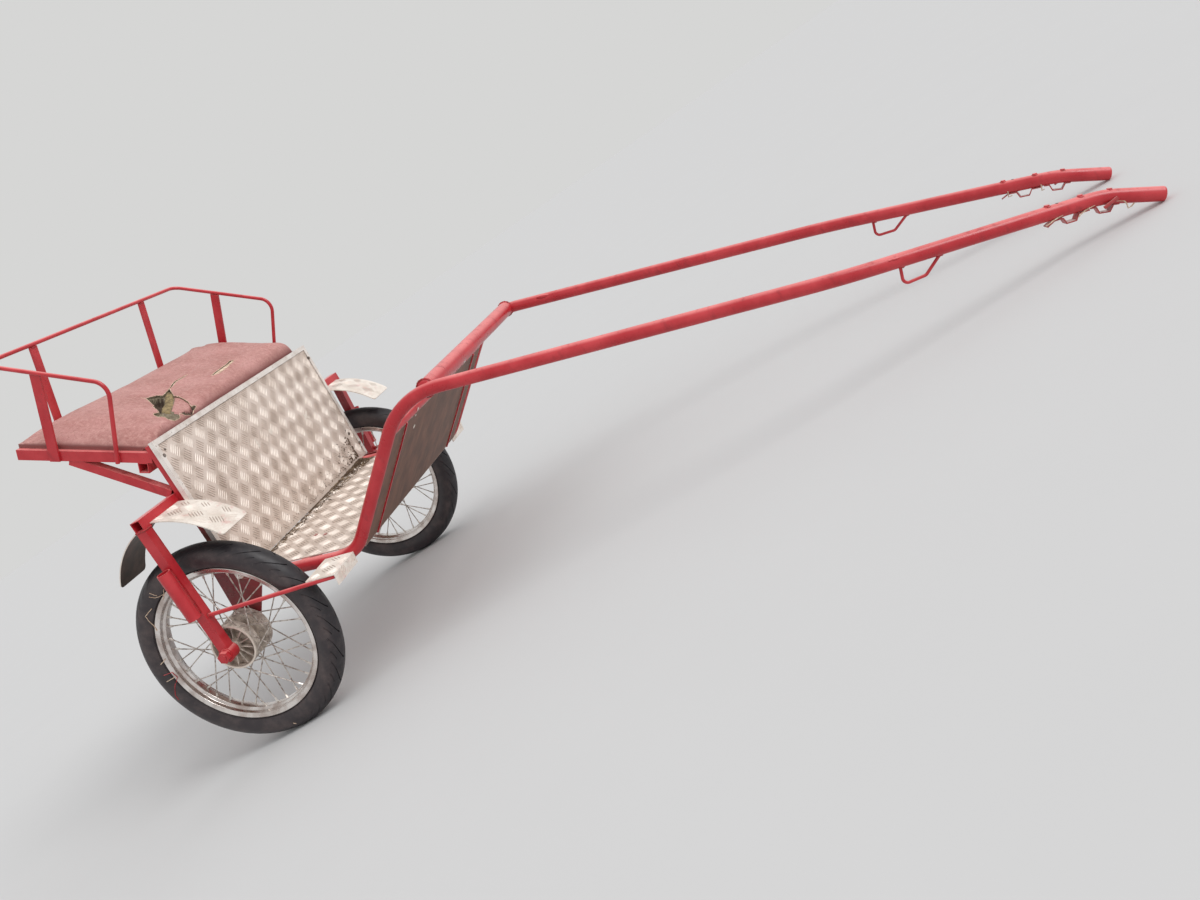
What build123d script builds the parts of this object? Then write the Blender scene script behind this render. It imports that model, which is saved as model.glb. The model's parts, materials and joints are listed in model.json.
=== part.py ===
from build123d import *
import math
import os

# A two-wheeled road cart for one horse: steel tube shafts that bend down into the dash and the
# floor, a sprung-free seat behind a sloping tread plate panel, and two wire motorcycle wheels.
# The cart is drawn level, as a horse would hold it, with the wheel axis at the origin, +X towards
# the shaft tips, +Y to the cart's left and +Z up. It is stored parked, resting on its shaft tips.

# Wheels
tyre_diameter = 612.0
tyre_width = 78.0
wheel_frame_gap = 40.0
rim_flange_diameter = 478.0
rim_seat_diameter = 457.2
rim_well_diameter = 438.0
rim_well_width = 18.0
rim_width = 56.0
rim_wall = 4.0
hub_flange_diameter = 134.0
hub_flange_thickness = 5.0
hub_end_gap = 1.5
hub_spacer_length = 4.0
hub_drum_length = 36.0
hub_barrel_diameter = 74.0
hub_boss_diameter = 38.0
hub_recess_depth = 26.0
hub_rim_wall = 5.0
hub_rib_drop = 8.0
hub_rib_count = 12
hub_rib_thickness = 3.0
hub_rib_root = 1.0
spoke_count = 36
spoke_diameter = 3.4
spoke_lean = 62.0
spoke_spread = 7.0
spoke_flange_set_in = 10.5
nipple_across_flats = 5.5
nipple_length = 13.0
spindle_diameter = 20.0
running_clearance = 0.05

# Tube that makes shaft, dash side and floor side in one piece, as seen from the side
shaft_diameter = 36.0
shaft_wall = 3.0
floor_tube_rise = 135.0
floor_slope = 13.7
dash_foot_reach = 339.0
dash_slope = 67.7
dash_length = 490.0
shaft_slope = 12.5
shaft_bend_reach = 1648.0
tip_bend_reach = 2270.0
tip_length = 140.0
floor_bend_radius = 105.0
dash_bend_radius = 215.0
shaft_bend_radius = 900.0
tip_bend_radius = 200.0
tip_edge_radius = 6.0
tip_plug = 8.0

# Half the distance between the two tubes at the dash, at the inward bend and at the tips
body_half_width = 455.0
shaft_half_width = 386.0
tip_half_width = 214.0

# Cross tube over the dash
cross_tube_diameter = 48.0
cross_tube_along_shaft = 74.0

# Sheet and bar stock
plate_thickness = 3.0
frame_bar = 30.0
frame_wall = 2.5
bearer_bar = 25.0
flat_bar_width = 30.0
flat_bar_thickness = 6.0
rod_diameter = 12.0
seat_gap = 0.2

# Floor and dash sheet
sheet_edge_gap = 5.0
sheet_above_tube_centre = 13.5
bearer_count = 3
bearer_first = 60.0
bearer_pitch = 115.0
dash_sheet_length = 369.0
dash_bar_set_in = 110.0
dash_bar_depth = 30.0
dash_board_thickness = 6.0
dash_board_start = 12.0
dash_board_front = 14.0

# Seat-front panel
panel_tilt = 23.3
panel_length = 448.0
panel_post_reach = 5.0
edging_leg = 15.0

# Posts and bar behind the panel
post_outset = 17.0
crossbar_up_panel = 284.0
crossbar_overhang = 0.0
upright_below_foot = 58.0

# Fork leg outside each wheel, and the plate inside it
leg_tyre_gap = 10.0
leg_splay = 22.0
leg_boss_diameter = 44.0
leg_boss_proud = 2.0
gusset_thickness = 5.0
gusset_top_width = 148.0
gusset_up_panel = 30.0
gusset_tube_lap = 2.0
gusset_boss_radius = 26.0
nut_across_flats = 30.0
nut_height = 14.0
washer_diameter = 38.0
brake_plate_diameter = 116.0
brake_plate_thickness = 10.0

# Socket tube on each leg
socket_diameter = 38.0
socket_wall = 3.0
socket_length = 150.0
socket_up_leg = 138.0

# Steps beside the floor and the rods that carry them
stay_up_leg = 122.0
step_front_reach = 336.0
step_front_rise = 222.0
step_depth = 90.0
step_fold = 30.0
step_leg_set_in = 23.0
step_rod_set_in = 32.0

# Guards over the wheels
guard_leg_gap = 1.0
guard_corner_radius = 12.0
guard_front_reach = 62.0
guard_front_rise = 360.0
guard_crest_rise = 9.0
guard_tail_reach = 272.0
guard_tail_rise = 196.0
guard_tail_bulge = 24.0
rear_guard_reach = 12.0

# Seat
seat_rake = 2.0
seat_depth = 408.0
seat_front_drop = 36.0
seat_board_thickness = 12.0
strut_set_back = 253.0
cushion_height = 70.0
cushion_corner = 62.0
cushion_crown = 46.0

# Railing round the seat
railing_rear_rise = 262.0
railing_rear_lean = 37.0
railing_front_rise = 215.0
railing_front_lean = 22.0
railing_foot_set_back = 100.0
railing_bend_radius = 42.0
railing_corner_radius = 30.0
rear_post_half_spacing = 280.0
side_post_set_back = 290.0

# Fittings under the shafts
loop_rod = 8.0
loop_reach = 1785.0
loop_drop = 42.0
loop_length = 92.0
loop_low_run = 55.0
loop_low_drop = 36.0
loop_corner_radius = 14.0
strap_reach = 2131.0
strap_foot = 26.0
strap_step = 8.0
strap_width = 20.0
strap_thickness = 3.0
strap_end_drop = 10.0
staple_gap = 26.0
staple_drop = 15.0
lug_diameter = 9.0
lug_rise = 24.0
lug_run = 28.0
lug_seat = 1.0


# Line of the tube seen from the side, as (reach, rise) points
def rise_along(start, slope, run):
    return (start[0] + run, start[1] + run * math.tan(math.radians(slope)))


def along(start, slope, length):
    turn = math.radians(slope)
    return (start[0] + length * math.cos(turn), start[1] + length * math.sin(turn))


shaft_radius = shaft_diameter / 2
frame_half_width = body_half_width + post_outset
panel_half_width = frame_half_width + frame_bar / 2 + panel_post_reach
half_track = frame_half_width + frame_bar / 2 + wheel_frame_gap + tyre_width / 2
leg_foot_half_width = half_track + tyre_width / 2 + leg_tyre_gap + frame_bar / 2
leg_top_half_width = leg_foot_half_width + leg_splay
crossbar_half_length = leg_top_half_width + frame_bar / 2 + crossbar_overhang
guard_outer_half_width = leg_top_half_width - frame_bar / 2 - guard_leg_gap
rear_guard_inner_half_width = half_track - tyre_width / 2 - rear_guard_reach
step_half_width = leg_foot_half_width - step_leg_set_in
step_rod_half_width = leg_foot_half_width - step_rod_set_in
dash_bar_half_spacing = body_half_width - dash_bar_set_in
right_angle = 90.0
floor_at_axle = (0.0, floor_tube_rise)
floor_corner = rise_along(floor_at_axle, floor_slope, dash_foot_reach)
dash_corner = along(floor_corner, dash_slope, dash_length)
shaft_corner = rise_along(dash_corner, shaft_slope, shaft_bend_reach - dash_corner[0])
tip_corner = rise_along(dash_corner, shaft_slope, tip_bend_reach - dash_corner[0])
tip_end = (tip_corner[0] + tip_length, tip_corner[1])

# Parking: the cart turns about its wheel axis until the shaft tips reach the ground
tyre_radius = tyre_diameter / 2
tip_low = (tip_end[0] - tip_edge_radius, tip_end[1] - shaft_radius + tip_edge_radius)
tip_distance = math.hypot(tip_low[0], tip_low[1])
park_angle = math.degrees(
    math.atan2(tip_low[1], tip_low[0]) + math.asin((tyre_radius - tip_edge_radius) / tip_distance)
)
park_turn = math.radians(park_angle)


def parked_point(reach, rise):
    """Where a point of the level cart lies once it is parked, measured from the wheel axis."""
    return (
        reach * math.cos(park_turn) + rise * math.sin(park_turn),
        rise * math.cos(park_turn) - reach * math.sin(park_turn),
    )


tip_high = (tip_end[0] - tip_edge_radius, tip_end[1] + shaft_radius - tip_edge_radius)
tip_front = parked_point(tip_high[0], tip_high[1])[0] + tip_edge_radius


# Panel line: its front face stands on the tubes and leans back
def off_floor(reach, lift):
    """A point over the floor line, lifted square to it."""
    turn = math.radians(floor_slope)
    base = rise_along(floor_at_axle, floor_slope, reach)
    return (base[0] - lift * math.sin(turn), base[1] + lift * math.cos(turn))


panel_foot = off_floor(shaft_radius * math.sin(math.radians(floor_slope)), shaft_radius + seat_gap)
panel_slope = right_angle + panel_tilt


def on_panel(up, back):
    """A point up the panel's front face and square behind it."""
    foot = along(panel_foot, panel_slope, up)
    return along(foot, panel_slope + right_angle, back)


post_face = plate_thickness
post_back = plate_thickness + frame_bar
crossbar_centre = on_panel(crossbar_up_panel, post_back + frame_bar / 2)


def side_plane(half_width, side):
    """Drawing plane of a side view, +X forward and +Z up, on one side of the cart."""
    return Plane(origin=(0, side * half_width, 0), x_dir=(1, 0, 0), z_dir=(0, -1, 0))


def store(solid, label):
    """Set a finished piece from the level cart into the parked stance and write it."""
    lift = Location((origin_shift, 0, tyre_radius))
    placed = solid.moved(lift * Location((0, 0, 0), (0, park_angle, 0)))
    placed.label = label
    export_step(placed, "parts/" + label + ".step")


def extrude_side(points, low, high, side):
    """A flat-sided piece from its side view, between two half widths on one side of the cart."""
    with BuildPart() as piece:
        with BuildSketch(side_plane(low if side < 0 else high, side)):
            with BuildLine():
                Polyline(*points, close=True)
            make_face()
        extrude(amount=high - low)
    return piece.part


def bar_between(start, end, width, depth, wall=0.0, across=(0, 1, 0)):
    """A straight bar or square tube from point to point; across is the direction of its width."""
    run = Vector(*end) - Vector(*start)
    with BuildPart() as bar:
        with BuildSketch(Plane(origin=start, x_dir=across, z_dir=run)):
            Rectangle(width, depth)
            if wall:
                Rectangle(width - 2 * wall, depth - 2 * wall, mode=Mode.SUBTRACT)
        extrude(amount=run.length)
    return bar.part


def rod_between(start, end, diameter):
    run = Vector(*end) - Vector(*start)
    with BuildPart() as rod:
        with BuildSketch(Plane(origin=start, z_dir=run)):
            Circle(diameter / 2)
        extrude(amount=run.length)
    return rod.part


os.makedirs("parts", exist_ok=True)
sides = (("right", -1), ("left", 1))

# Rearmost point of the parked cart, for the origin in the middle of its length
seat_front = on_panel(panel_length - seat_front_drop, post_back)
seat_plane_turn = 2 * right_angle - seat_rake
rail_rear = along(seat_front, seat_plane_turn, seat_depth)
rear_most = min(parked_point(*rail_rear)[0] - frame_bar, -tyre_radius)
origin_shift = -(tip_front + rear_most) / 2

# Shaft, dash side and floor side: one bent tube on each side
for name, side in sides:
    rear = off_floor(-frame_bar, 0.0)
    stops = [
        (rear[0], side * body_half_width, rear[1]),
        (floor_corner[0], side * body_half_width, floor_corner[1]),
        (dash_corner[0], side * body_half_width, dash_corner[1]),
        (shaft_corner[0], side * shaft_half_width, shaft_corner[1]),
        (tip_corner[0], side * tip_half_width, tip_corner[1]),
        (tip_end[0], side * tip_half_width, tip_end[1]),
    ]
    bends = [floor_bend_radius, dash_bend_radius, shaft_bend_radius, tip_bend_radius]
    bore_end = (tip_end[0] - tip_plug, side * tip_half_width, tip_end[1])
    start_plane = Plane(origin=stops[0], z_dir=Vector(*stops[1]) - Vector(*stops[0]))
    post_plane = Plane(
        origin=(on_panel(0, post_face)[0], 0, on_panel(0, post_face)[1]),
        z_dir=(math.cos(math.radians(panel_tilt)), 0, math.sin(math.radians(panel_tilt))),
    )
    with BuildPart() as main_tube:
        with BuildLine() as centre_line:
            FilletPolyline(*stops, radius=bends)
        with BuildSketch(start_plane):
            Circle(shaft_radius)
        sweep(path=centre_line.line)
        fillet(main_tube.edges().group_by(Axis.X)[-1], tip_edge_radius)
        with BuildLine() as bore_line:
            FilletPolyline(*stops[:-1], bore_end, radius=bends)
        with BuildSketch(start_plane):
            Circle(shaft_radius - shaft_wall)
        sweep(path=bore_line.line, mode=Mode.SUBTRACT)
        split(bisect_by=post_plane, keep=Keep.TOP)
    store(main_tube.part, "main_tube_" + name)

# Cross tube between the shafts, its ends cut to the round of the shafts
cross_centre = along(dash_corner, shaft_slope, cross_tube_along_shaft)
cross_share = (cross_centre[0] - dash_corner[0]) / (shaft_corner[0] - dash_corner[0])
cross_half = body_half_width - cross_share * (body_half_width - shaft_half_width)
with BuildPart() as cross_tube:
    with BuildSketch(Plane(origin=(cross_centre[0], 0, cross_centre[1]), z_dir=(0, 1, 0))):
        Circle(cross_tube_diameter / 2)
        Circle(cross_tube_diameter / 2 - shaft_wall, mode=Mode.SUBTRACT)
    extrude(amount=cross_half - shaft_radius / 2, both=True)
    for name, side in sides:
        with BuildLine() as cope_line:
            FilletPolyline(
                (floor_corner[0], side * body_half_width, floor_corner[1]),
                (dash_corner[0], side * body_half_width, dash_corner[1]),
                (shaft_corner[0], side * shaft_half_width, shaft_corner[1]),
                radius=dash_bend_radius,
            )
        cope_run = Vector(dash_corner[0] - floor_corner[0], 0, dash_corner[1] - floor_corner[1])
        cope_start = (floor_corner[0], side * body_half_width, floor_corner[1])
        with BuildSketch(Plane(origin=cope_start, z_dir=cope_run)):
            Circle(shaft_radius + seat_gap)
        sweep(path=cope_line.line, mode=Mode.SUBTRACT)
store(cross_tube.part, "cross_tube")

# Floor and dash: one sheet of tread plate, bent up inside the tubes


def lifted_corner(corner, slope_before, slope_after, lift):
    """A bend's corner point moved square off both of its runs."""
    before = math.radians(slope_before)
    after = math.radians(slope_after)
    shift_x = -math.sin(before) - math.sin(after)
    shift_z = math.cos(before) + math.cos(after)
    scale = lift / (1.0 + math.cos(after - before))
    return (corner[0] + shift_x * scale, corner[1] + shift_z * scale)


sheet_half_width = body_half_width - shaft_radius - sheet_edge_gap
sheet_rear = off_floor(panel_foot[0] + plate_thickness, sheet_above_tube_centre)
sheet_corner = lifted_corner(floor_corner, floor_slope, dash_slope, sheet_above_tube_centre)
sheet_top = along(sheet_corner, dash_slope, dash_sheet_length)
with BuildPart() as floor_sheet:
    with BuildLine() as sheet_line:
        FilletPolyline(
            (sheet_rear[0], 0, sheet_rear[1]),
            (sheet_corner[0], 0, sheet_corner[1]),
            (sheet_top[0], 0, sheet_top[1]),
            radius=floor_bend_radius - sheet_above_tube_centre,
        )
    sheet_start = (sheet_rear[0], 0, sheet_rear[1])
    sheet_run = Vector(sheet_corner[0], 0, sheet_corner[1]) - Vector(*sheet_start)
    with BuildSketch(Plane(origin=sheet_start, x_dir=(0, 1, 0), z_dir=sheet_run)):
        Rectangle(2 * sheet_half_width, plate_thickness)
    sweep(path=sheet_line.line)
store(floor_sheet.part, "floor_sheet")

# Square bearers under the floor, end to end between the tubes
bearer_lift = sheet_above_tube_centre - plate_thickness / 2 - bearer_bar / 2
bearer_half = body_half_width - shaft_radius - seat_gap
with BuildPart() as floor_bearers:
    for index in range(bearer_count):
        spot = off_floor(bearer_first + index * bearer_pitch, bearer_lift)
        turn = math.radians(floor_slope)
        run_dir = (math.cos(turn), 0, math.sin(turn))
        with BuildSketch(Plane(origin=(spot[0], 0, spot[1]), x_dir=run_dir, z_dir=(0, 1, 0))):
            Rectangle(bearer_bar, bearer_bar)
            Rectangle(bearer_bar - 2 * frame_wall, bearer_bar - 2 * frame_wall, mode=Mode.SUBTRACT)
        extrude(amount=bearer_half, both=True)
store(floor_bearers.part, "floor_bearers")

# Front of the dash: a boarded face between and beside two flat bars on edge, under a rounded cap
dash_turn = math.radians(dash_slope)
dash_out = Vector(math.sin(dash_turn), 0, -math.cos(dash_turn))


def dash_point(up, out):
    """A point of the dash's side view: up from the sheet's corner, out from the tubes' centres."""
    spot = along(sheet_corner, dash_slope, up)
    return along(spot, dash_slope - right_angle, sheet_above_tube_centre + out)


def dash_plane(up, out):
    """Drawing plane square to the dash, X across the cart and Y up the dash."""
    spot = dash_point(up, out)
    return Plane(origin=(spot[0], 0, spot[1]), x_dir=(0, 1, 0), z_dir=dash_out)


sheet_front = plate_thickness / 2 - sheet_above_tube_centre
board_back = dash_board_front - dash_board_thickness
board_length = dash_sheet_length - dash_board_start
board_middle = dash_board_start + board_length / 2
bar_outer = dash_bar_half_spacing + flat_bar_thickness / 2 + seat_gap
bar_inner = dash_bar_half_spacing - flat_bar_thickness / 2 - seat_gap
tube_half_chord = math.sqrt(shaft_radius ** 2 - board_back ** 2)
strip_outer = body_half_width - tube_half_chord - 2 * seat_gap
with BuildPart() as dash_bars:
    with BuildSketch(dash_plane(board_middle, sheet_front + seat_gap)):
        with Locations((-dash_bar_half_spacing, 0), (dash_bar_half_spacing, 0)):
            Rectangle(flat_bar_thickness, board_length)
    extrude(amount=dash_bar_depth)
store(dash_bars.part, "dash_bars")

with BuildPart() as dash_board:
    with BuildSketch(dash_plane(board_middle, board_back)):
        Rectangle(2 * bar_inner, board_length)
        with Locations((-(bar_outer + strip_outer) / 2, 0), ((bar_outer + strip_outer) / 2, 0)):
            Rectangle(strip_outer - bar_outer, board_length)
    extrude(amount=dash_board_thickness)
store(dash_board.part, "dash_board")

cap_back = sheet_front - plate_thickness
cap_radius = (dash_board_front - cap_back) / 2
cap_foot = dash_sheet_length + seat_gap
cap_half_width = body_half_width - shaft_radius - 2 * seat_gap
cap_peak = dash_point(cap_foot + cap_radius, cap_back + cap_radius)
with BuildPart() as dash_cap:
    with BuildSketch(side_plane(0.0, 1)):
        with BuildLine():
            cap_curve = ThreePointArc(
                dash_point(cap_foot, cap_back), cap_peak, dash_point(cap_foot, dash_board_front)
            )
            offset(cap_curve, amount=plate_thickness, side=Side.RIGHT)
        make_face()
    extrude(amount=cap_half_width, both=True)
    with BuildSketch(dash_plane(board_middle, sheet_front + seat_gap)):
        with Locations((-dash_bar_half_spacing, 0), (dash_bar_half_spacing, 0)):
            Rectangle(flat_bar_thickness + 2 * seat_gap, board_length + 2 * seat_gap)
    extrude(amount=dash_bar_depth, mode=Mode.SUBTRACT)
store(dash_cap.part, "dash_cap")

# Sloping panel in front of the seat, cut at the floor line
panel_top = on_panel(panel_length, 0.0)
panel_top_back = on_panel(panel_length, plate_thickness)
floor_turn = math.radians(floor_slope)
back_run = -plate_thickness / math.cos(math.radians(panel_tilt - floor_slope))
panel_foot_back = (
    panel_foot[0] + back_run * math.cos(floor_turn),
    panel_foot[1] + back_run * math.sin(floor_turn),
)
panel_outline = [panel_foot, panel_top, panel_top_back, panel_foot_back]
with BuildPart() as seat_front_panel:
    with BuildSketch(side_plane(0.0, 1)):
        with BuildLine():
            Polyline(*panel_outline, close=True)
        make_face()
    extrude(amount=panel_half_width, both=True)
store(seat_front_panel.part, "seat_front_panel")

# Angle edging wrapped over the panel's two sides and its top
edging_lift = Vector(math.cos(math.radians(panel_tilt)), 0, math.sin(math.radians(panel_tilt)))
edging_foot = plate_thickness
edging_outer = panel_half_width + plate_thickness
edging_height = panel_length + plate_thickness - edging_foot
edging_mid = on_panel(edging_foot + edging_height / 2, -seat_gap)
with BuildPart() as panel_edging:
    face_plane = Plane(
        origin=(edging_mid[0], 0, edging_mid[1]), x_dir=(0, 1, 0), z_dir=edging_lift
    )
    with BuildSketch(face_plane):
        Rectangle(2 * edging_outer, edging_height)
        with Locations((0, -edging_leg / 2)):
            Rectangle(2 * (edging_outer - edging_leg), edging_height - edging_leg, mode=Mode.SUBTRACT)
    extrude(amount=plate_thickness)
    side_depth = edging_leg - plate_thickness
    with BuildSketch(face_plane):
        for across in (-1, 1):
            with Locations((across * (edging_outer - plate_thickness / 2 + seat_gap), 0)):
                Rectangle(plate_thickness - 2 * seat_gap, edging_height)
        with Locations((0, (edging_height - plate_thickness + seat_gap) / 2)):
            Rectangle(2 * edging_outer, plate_thickness - seat_gap)
    extrude(amount=-side_depth)
store(panel_edging.part, "panel_edging")

# Square posts behind the panel's side edges
post_top = panel_length - plate_thickness
post_low = -upright_below_foot
for name, side in sides:
    post = bar_between(
        (on_panel(post_low, post_face + frame_bar / 2)[0], side * frame_half_width,
         on_panel(post_low, post_face + frame_bar / 2)[1]),
        (on_panel(post_top, post_face + frame_bar / 2)[0], side * frame_half_width,
         on_panel(post_top, post_face + frame_bar / 2)[1]),
        frame_bar, frame_bar, frame_wall,
    )
    store(post, "panel_post_" + name)

# Crossbar behind the posts, out over both wheels, open at its ends
crossbar_plane = Plane(
    origin=(crossbar_centre[0], 0, crossbar_centre[1]),
    x_dir=(edging_lift.X, 0, edging_lift.Z),
    z_dir=(0, 1, 0),
)
with BuildPart() as crossbar:
    with BuildSketch(crossbar_plane):
        Rectangle(frame_bar, frame_bar)
        Rectangle(frame_bar - 2 * frame_wall, frame_bar - 2 * frame_wall, mode=Mode.SUBTRACT)
    extrude(amount=crossbar_half_length, both=True)
store(crossbar.part, "crossbar")

# Fork legs from the crossbar down to the spindles
crossbar_under = on_panel(crossbar_up_panel - frame_bar / 2 - seat_gap, post_back + frame_bar / 2)
leg_run = math.hypot(crossbar_under[0], crossbar_under[1])
leg_slope = math.degrees(math.atan2(crossbar_under[1], crossbar_under[0]))


def leg_point(up, out, ahead, side):
    """A point on a leg: distance up from the spindle, out from its axis and ahead of it."""
    spot = along(along((0.0, 0.0), leg_slope, up), leg_slope - right_angle, ahead)
    share = up / leg_run
    half = leg_foot_half_width + share * (leg_top_half_width - leg_foot_half_width) + out
    return (spot[0], side * half, spot[1])


under_plane = Plane(
    origin=(crossbar_under[0], 0, crossbar_under[1]),
    z_dir=(math.sin(math.radians(panel_tilt)), 0, -math.cos(math.radians(panel_tilt))),
)
spindle_radius = spindle_diameter / 2
for name, side in sides:
    foot = leg_point(0.0, 0.0, 0.0, side)
    top = leg_point(leg_run + frame_bar / 2, 0.0, 0.0, side)
    leg_dir = Vector(*top) - Vector(*foot)
    with BuildPart() as fork_leg:
        with BuildSketch(Plane(origin=foot, x_dir=(0, 1, 0), z_dir=leg_dir)):
            Rectangle(frame_bar, frame_bar)
            Rectangle(frame_bar - 2 * frame_wall, frame_bar - 2 * frame_wall, mode=Mode.SUBTRACT)
        extrude(amount=leg_dir.length)
        split(bisect_by=under_plane, keep=Keep.TOP)
        with BuildSketch(Plane(origin=foot, z_dir=(0, 1, 0))):
            Circle(leg_boss_diameter / 2)
        extrude(amount=frame_bar / 2 + leg_boss_proud, both=True)
        with BuildSketch(Plane(origin=foot, z_dir=(0, 1, 0))):
            Circle(spindle_radius + running_clearance)
        extrude(amount=frame_bar, both=True, mode=Mode.SUBTRACT)
    store(fork_leg.part, "fork_leg_" + name)

# Plate inside each wheel, from the post down to the spindle
gusset_inner = frame_half_width + frame_bar / 2
gusset_outer = gusset_inner + gusset_thickness
gusset_behind = on_panel(gusset_up_panel, plate_thickness + 2 * seat_gap)
gusset_tail = (gusset_behind[0] - gusset_top_width / 2, gusset_behind[1])
gusset_foot_back = on_panel(0.0, plate_thickness + 2 * seat_gap)
gusset_nose = off_floor(gusset_tail[0] + gusset_top_width, shaft_radius - gusset_tube_lap)
gusset_low = (gusset_nose[0], gusset_nose[1] - frame_bar)
for name, side in sides:
    with BuildPart() as wheel_plate:
        with BuildSketch(side_plane(gusset_inner if side < 0 else gusset_outer, side)):
            with BuildLine():
                Polyline(
                    gusset_tail,
                    gusset_behind,
                    (gusset_foot_back[0], gusset_foot_back[1] - gusset_tube_lap),
                    gusset_nose,
                    gusset_low,
                    (gusset_boss_radius, 0.0),
                    (-gusset_boss_radius, 0.0),
                    close=True,
                )
            make_face()
            Circle(gusset_boss_radius)
            Circle(spindle_radius + running_clearance, mode=Mode.SUBTRACT)
        extrude(amount=gusset_thickness)
    store(wheel_plate.part, "wheel_plate_" + name)

# Spindle with its head inside the plate, a spacer each side of the hub and a nut outside the leg
leg_inner = leg_foot_half_width - frame_bar / 2 - leg_boss_proud
leg_outer = leg_foot_half_width + frame_bar / 2 + leg_boss_proud
brake_inner = gusset_outer + seat_gap
brake_outer = brake_inner + brake_plate_thickness
hub_inner = brake_outer + hub_end_gap
hub_outer = leg_inner - hub_end_gap - hub_spacer_length


def axle_plane(half_width, side):
    """Drawing plane square to the wheel axis, facing away from the cart's middle."""
    return Plane(origin=(0, side * half_width, 0), x_dir=(1, 0, 0), z_dir=(0, side, 0))


for name, side in sides:
    with BuildPart() as spindle:
        with BuildSketch(axle_plane(gusset_inner - nut_height - seat_gap, side)):
            RegularPolygon(nut_across_flats / 2, 6, major_radius=False)
        extrude(amount=nut_height)
        with BuildSketch(axle_plane(gusset_inner - nut_height, side)):
            Circle(spindle_radius)
        extrude(amount=leg_outer - gusset_inner + 2 * nut_height + spindle_radius / 2)
        with BuildSketch(axle_plane(leg_outer + seat_gap, side)):
            Circle(washer_diameter / 2)
        extrude(amount=plate_thickness)
        with BuildSketch(axle_plane(leg_outer + seat_gap + plate_thickness, side)):
            RegularPolygon(nut_across_flats / 2, 6, major_radius=False)
        extrude(amount=nut_height)
        with BuildSketch(axle_plane(leg_inner - seat_gap - hub_spacer_length, side)):
            Circle(spindle_radius + plate_thickness)
        extrude(amount=hub_spacer_length)
    store(spindle.part, "spindle_" + name)

    with BuildPart() as brake_plate:
        with BuildSketch(axle_plane(brake_inner, side)):
            Circle(brake_plate_diameter / 2)
        extrude(amount=brake_plate_thickness / 2)
        with BuildSketch(axle_plane(brake_inner, side)):
            Circle(hub_boss_diameter / 2)
        extrude(amount=brake_plate_thickness)
        with BuildSketch(axle_plane(brake_inner - gusset_thickness, side)):
            Circle(spindle_radius + running_clearance)
        extrude(amount=3 * brake_plate_thickness, mode=Mode.SUBTRACT)
    store(brake_plate.part, "brake_plate_" + name)

# Socket tube on the outer face of each leg
for name, side in sides:
    out = frame_bar / 2 + socket_diameter / 2 + seat_gap
    low = leg_point(socket_up_leg, out, 0.0, side)
    high = leg_point(socket_up_leg + socket_length, out, 0.0, side)
    with BuildPart() as socket:
        with BuildSketch(Plane(origin=low, z_dir=Vector(*high) - Vector(*low))):
            Circle(socket_diameter / 2)
            Circle(socket_diameter / 2 - socket_wall, mode=Mode.SUBTRACT)
        extrude(amount=(Vector(*high) - Vector(*low)).length)
    store(socket.part, "socket_tube_" + name)

# Rod from each leg forward to the step, and the step folded from tread plate
stay_start = leg_point(stay_up_leg, 0.0, frame_bar / 2, 1)
leg_face = Plane(
    origin=leg_point(stay_up_leg, 0.0, frame_bar / 2 + seat_gap, 1),
    z_dir=(math.sin(math.radians(leg_slope)), 0, -math.cos(math.radians(leg_slope))),
)
stay_slope = math.degrees(
    math.atan2(step_front_rise - stay_start[2], step_front_reach - stay_start[0])
)
rod_radius = rod_diameter / 2
for name, side in sides:
    start = (stay_start[0], side * stay_start[1], stay_start[2])
    stay_end = along((step_front_reach, step_front_rise), stay_slope, -rod_radius / 4)
    stay = rod_between(start, (stay_end[0], side * step_rod_half_width, stay_end[1]), rod_diameter)
    with BuildPart() as step_stay:
        add(stay)
        split(bisect_by=leg_face, keep=Keep.TOP)
    store(step_stay.part, "step_stay_" + name)

    step_base = along((step_front_reach, step_front_rise), stay_slope + right_angle, rod_radius + seat_gap)
    step_nose = along(step_base, stay_slope, plate_thickness)
    step_back = along(step_base, stay_slope, plate_thickness - step_depth)
    fold_low = along(step_nose, stay_slope - right_angle, step_fold)
    outline = [
        step_back,
        along(step_back, stay_slope + right_angle, plate_thickness),
        along(step_nose, stay_slope + right_angle, plate_thickness),
        fold_low,
        along(fold_low, stay_slope, -plate_thickness),
        step_base,
    ]
    step = extrude_side(outline, body_half_width + shaft_radius + seat_gap, step_half_width, side)
    store(step, "step_" + name)

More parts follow.
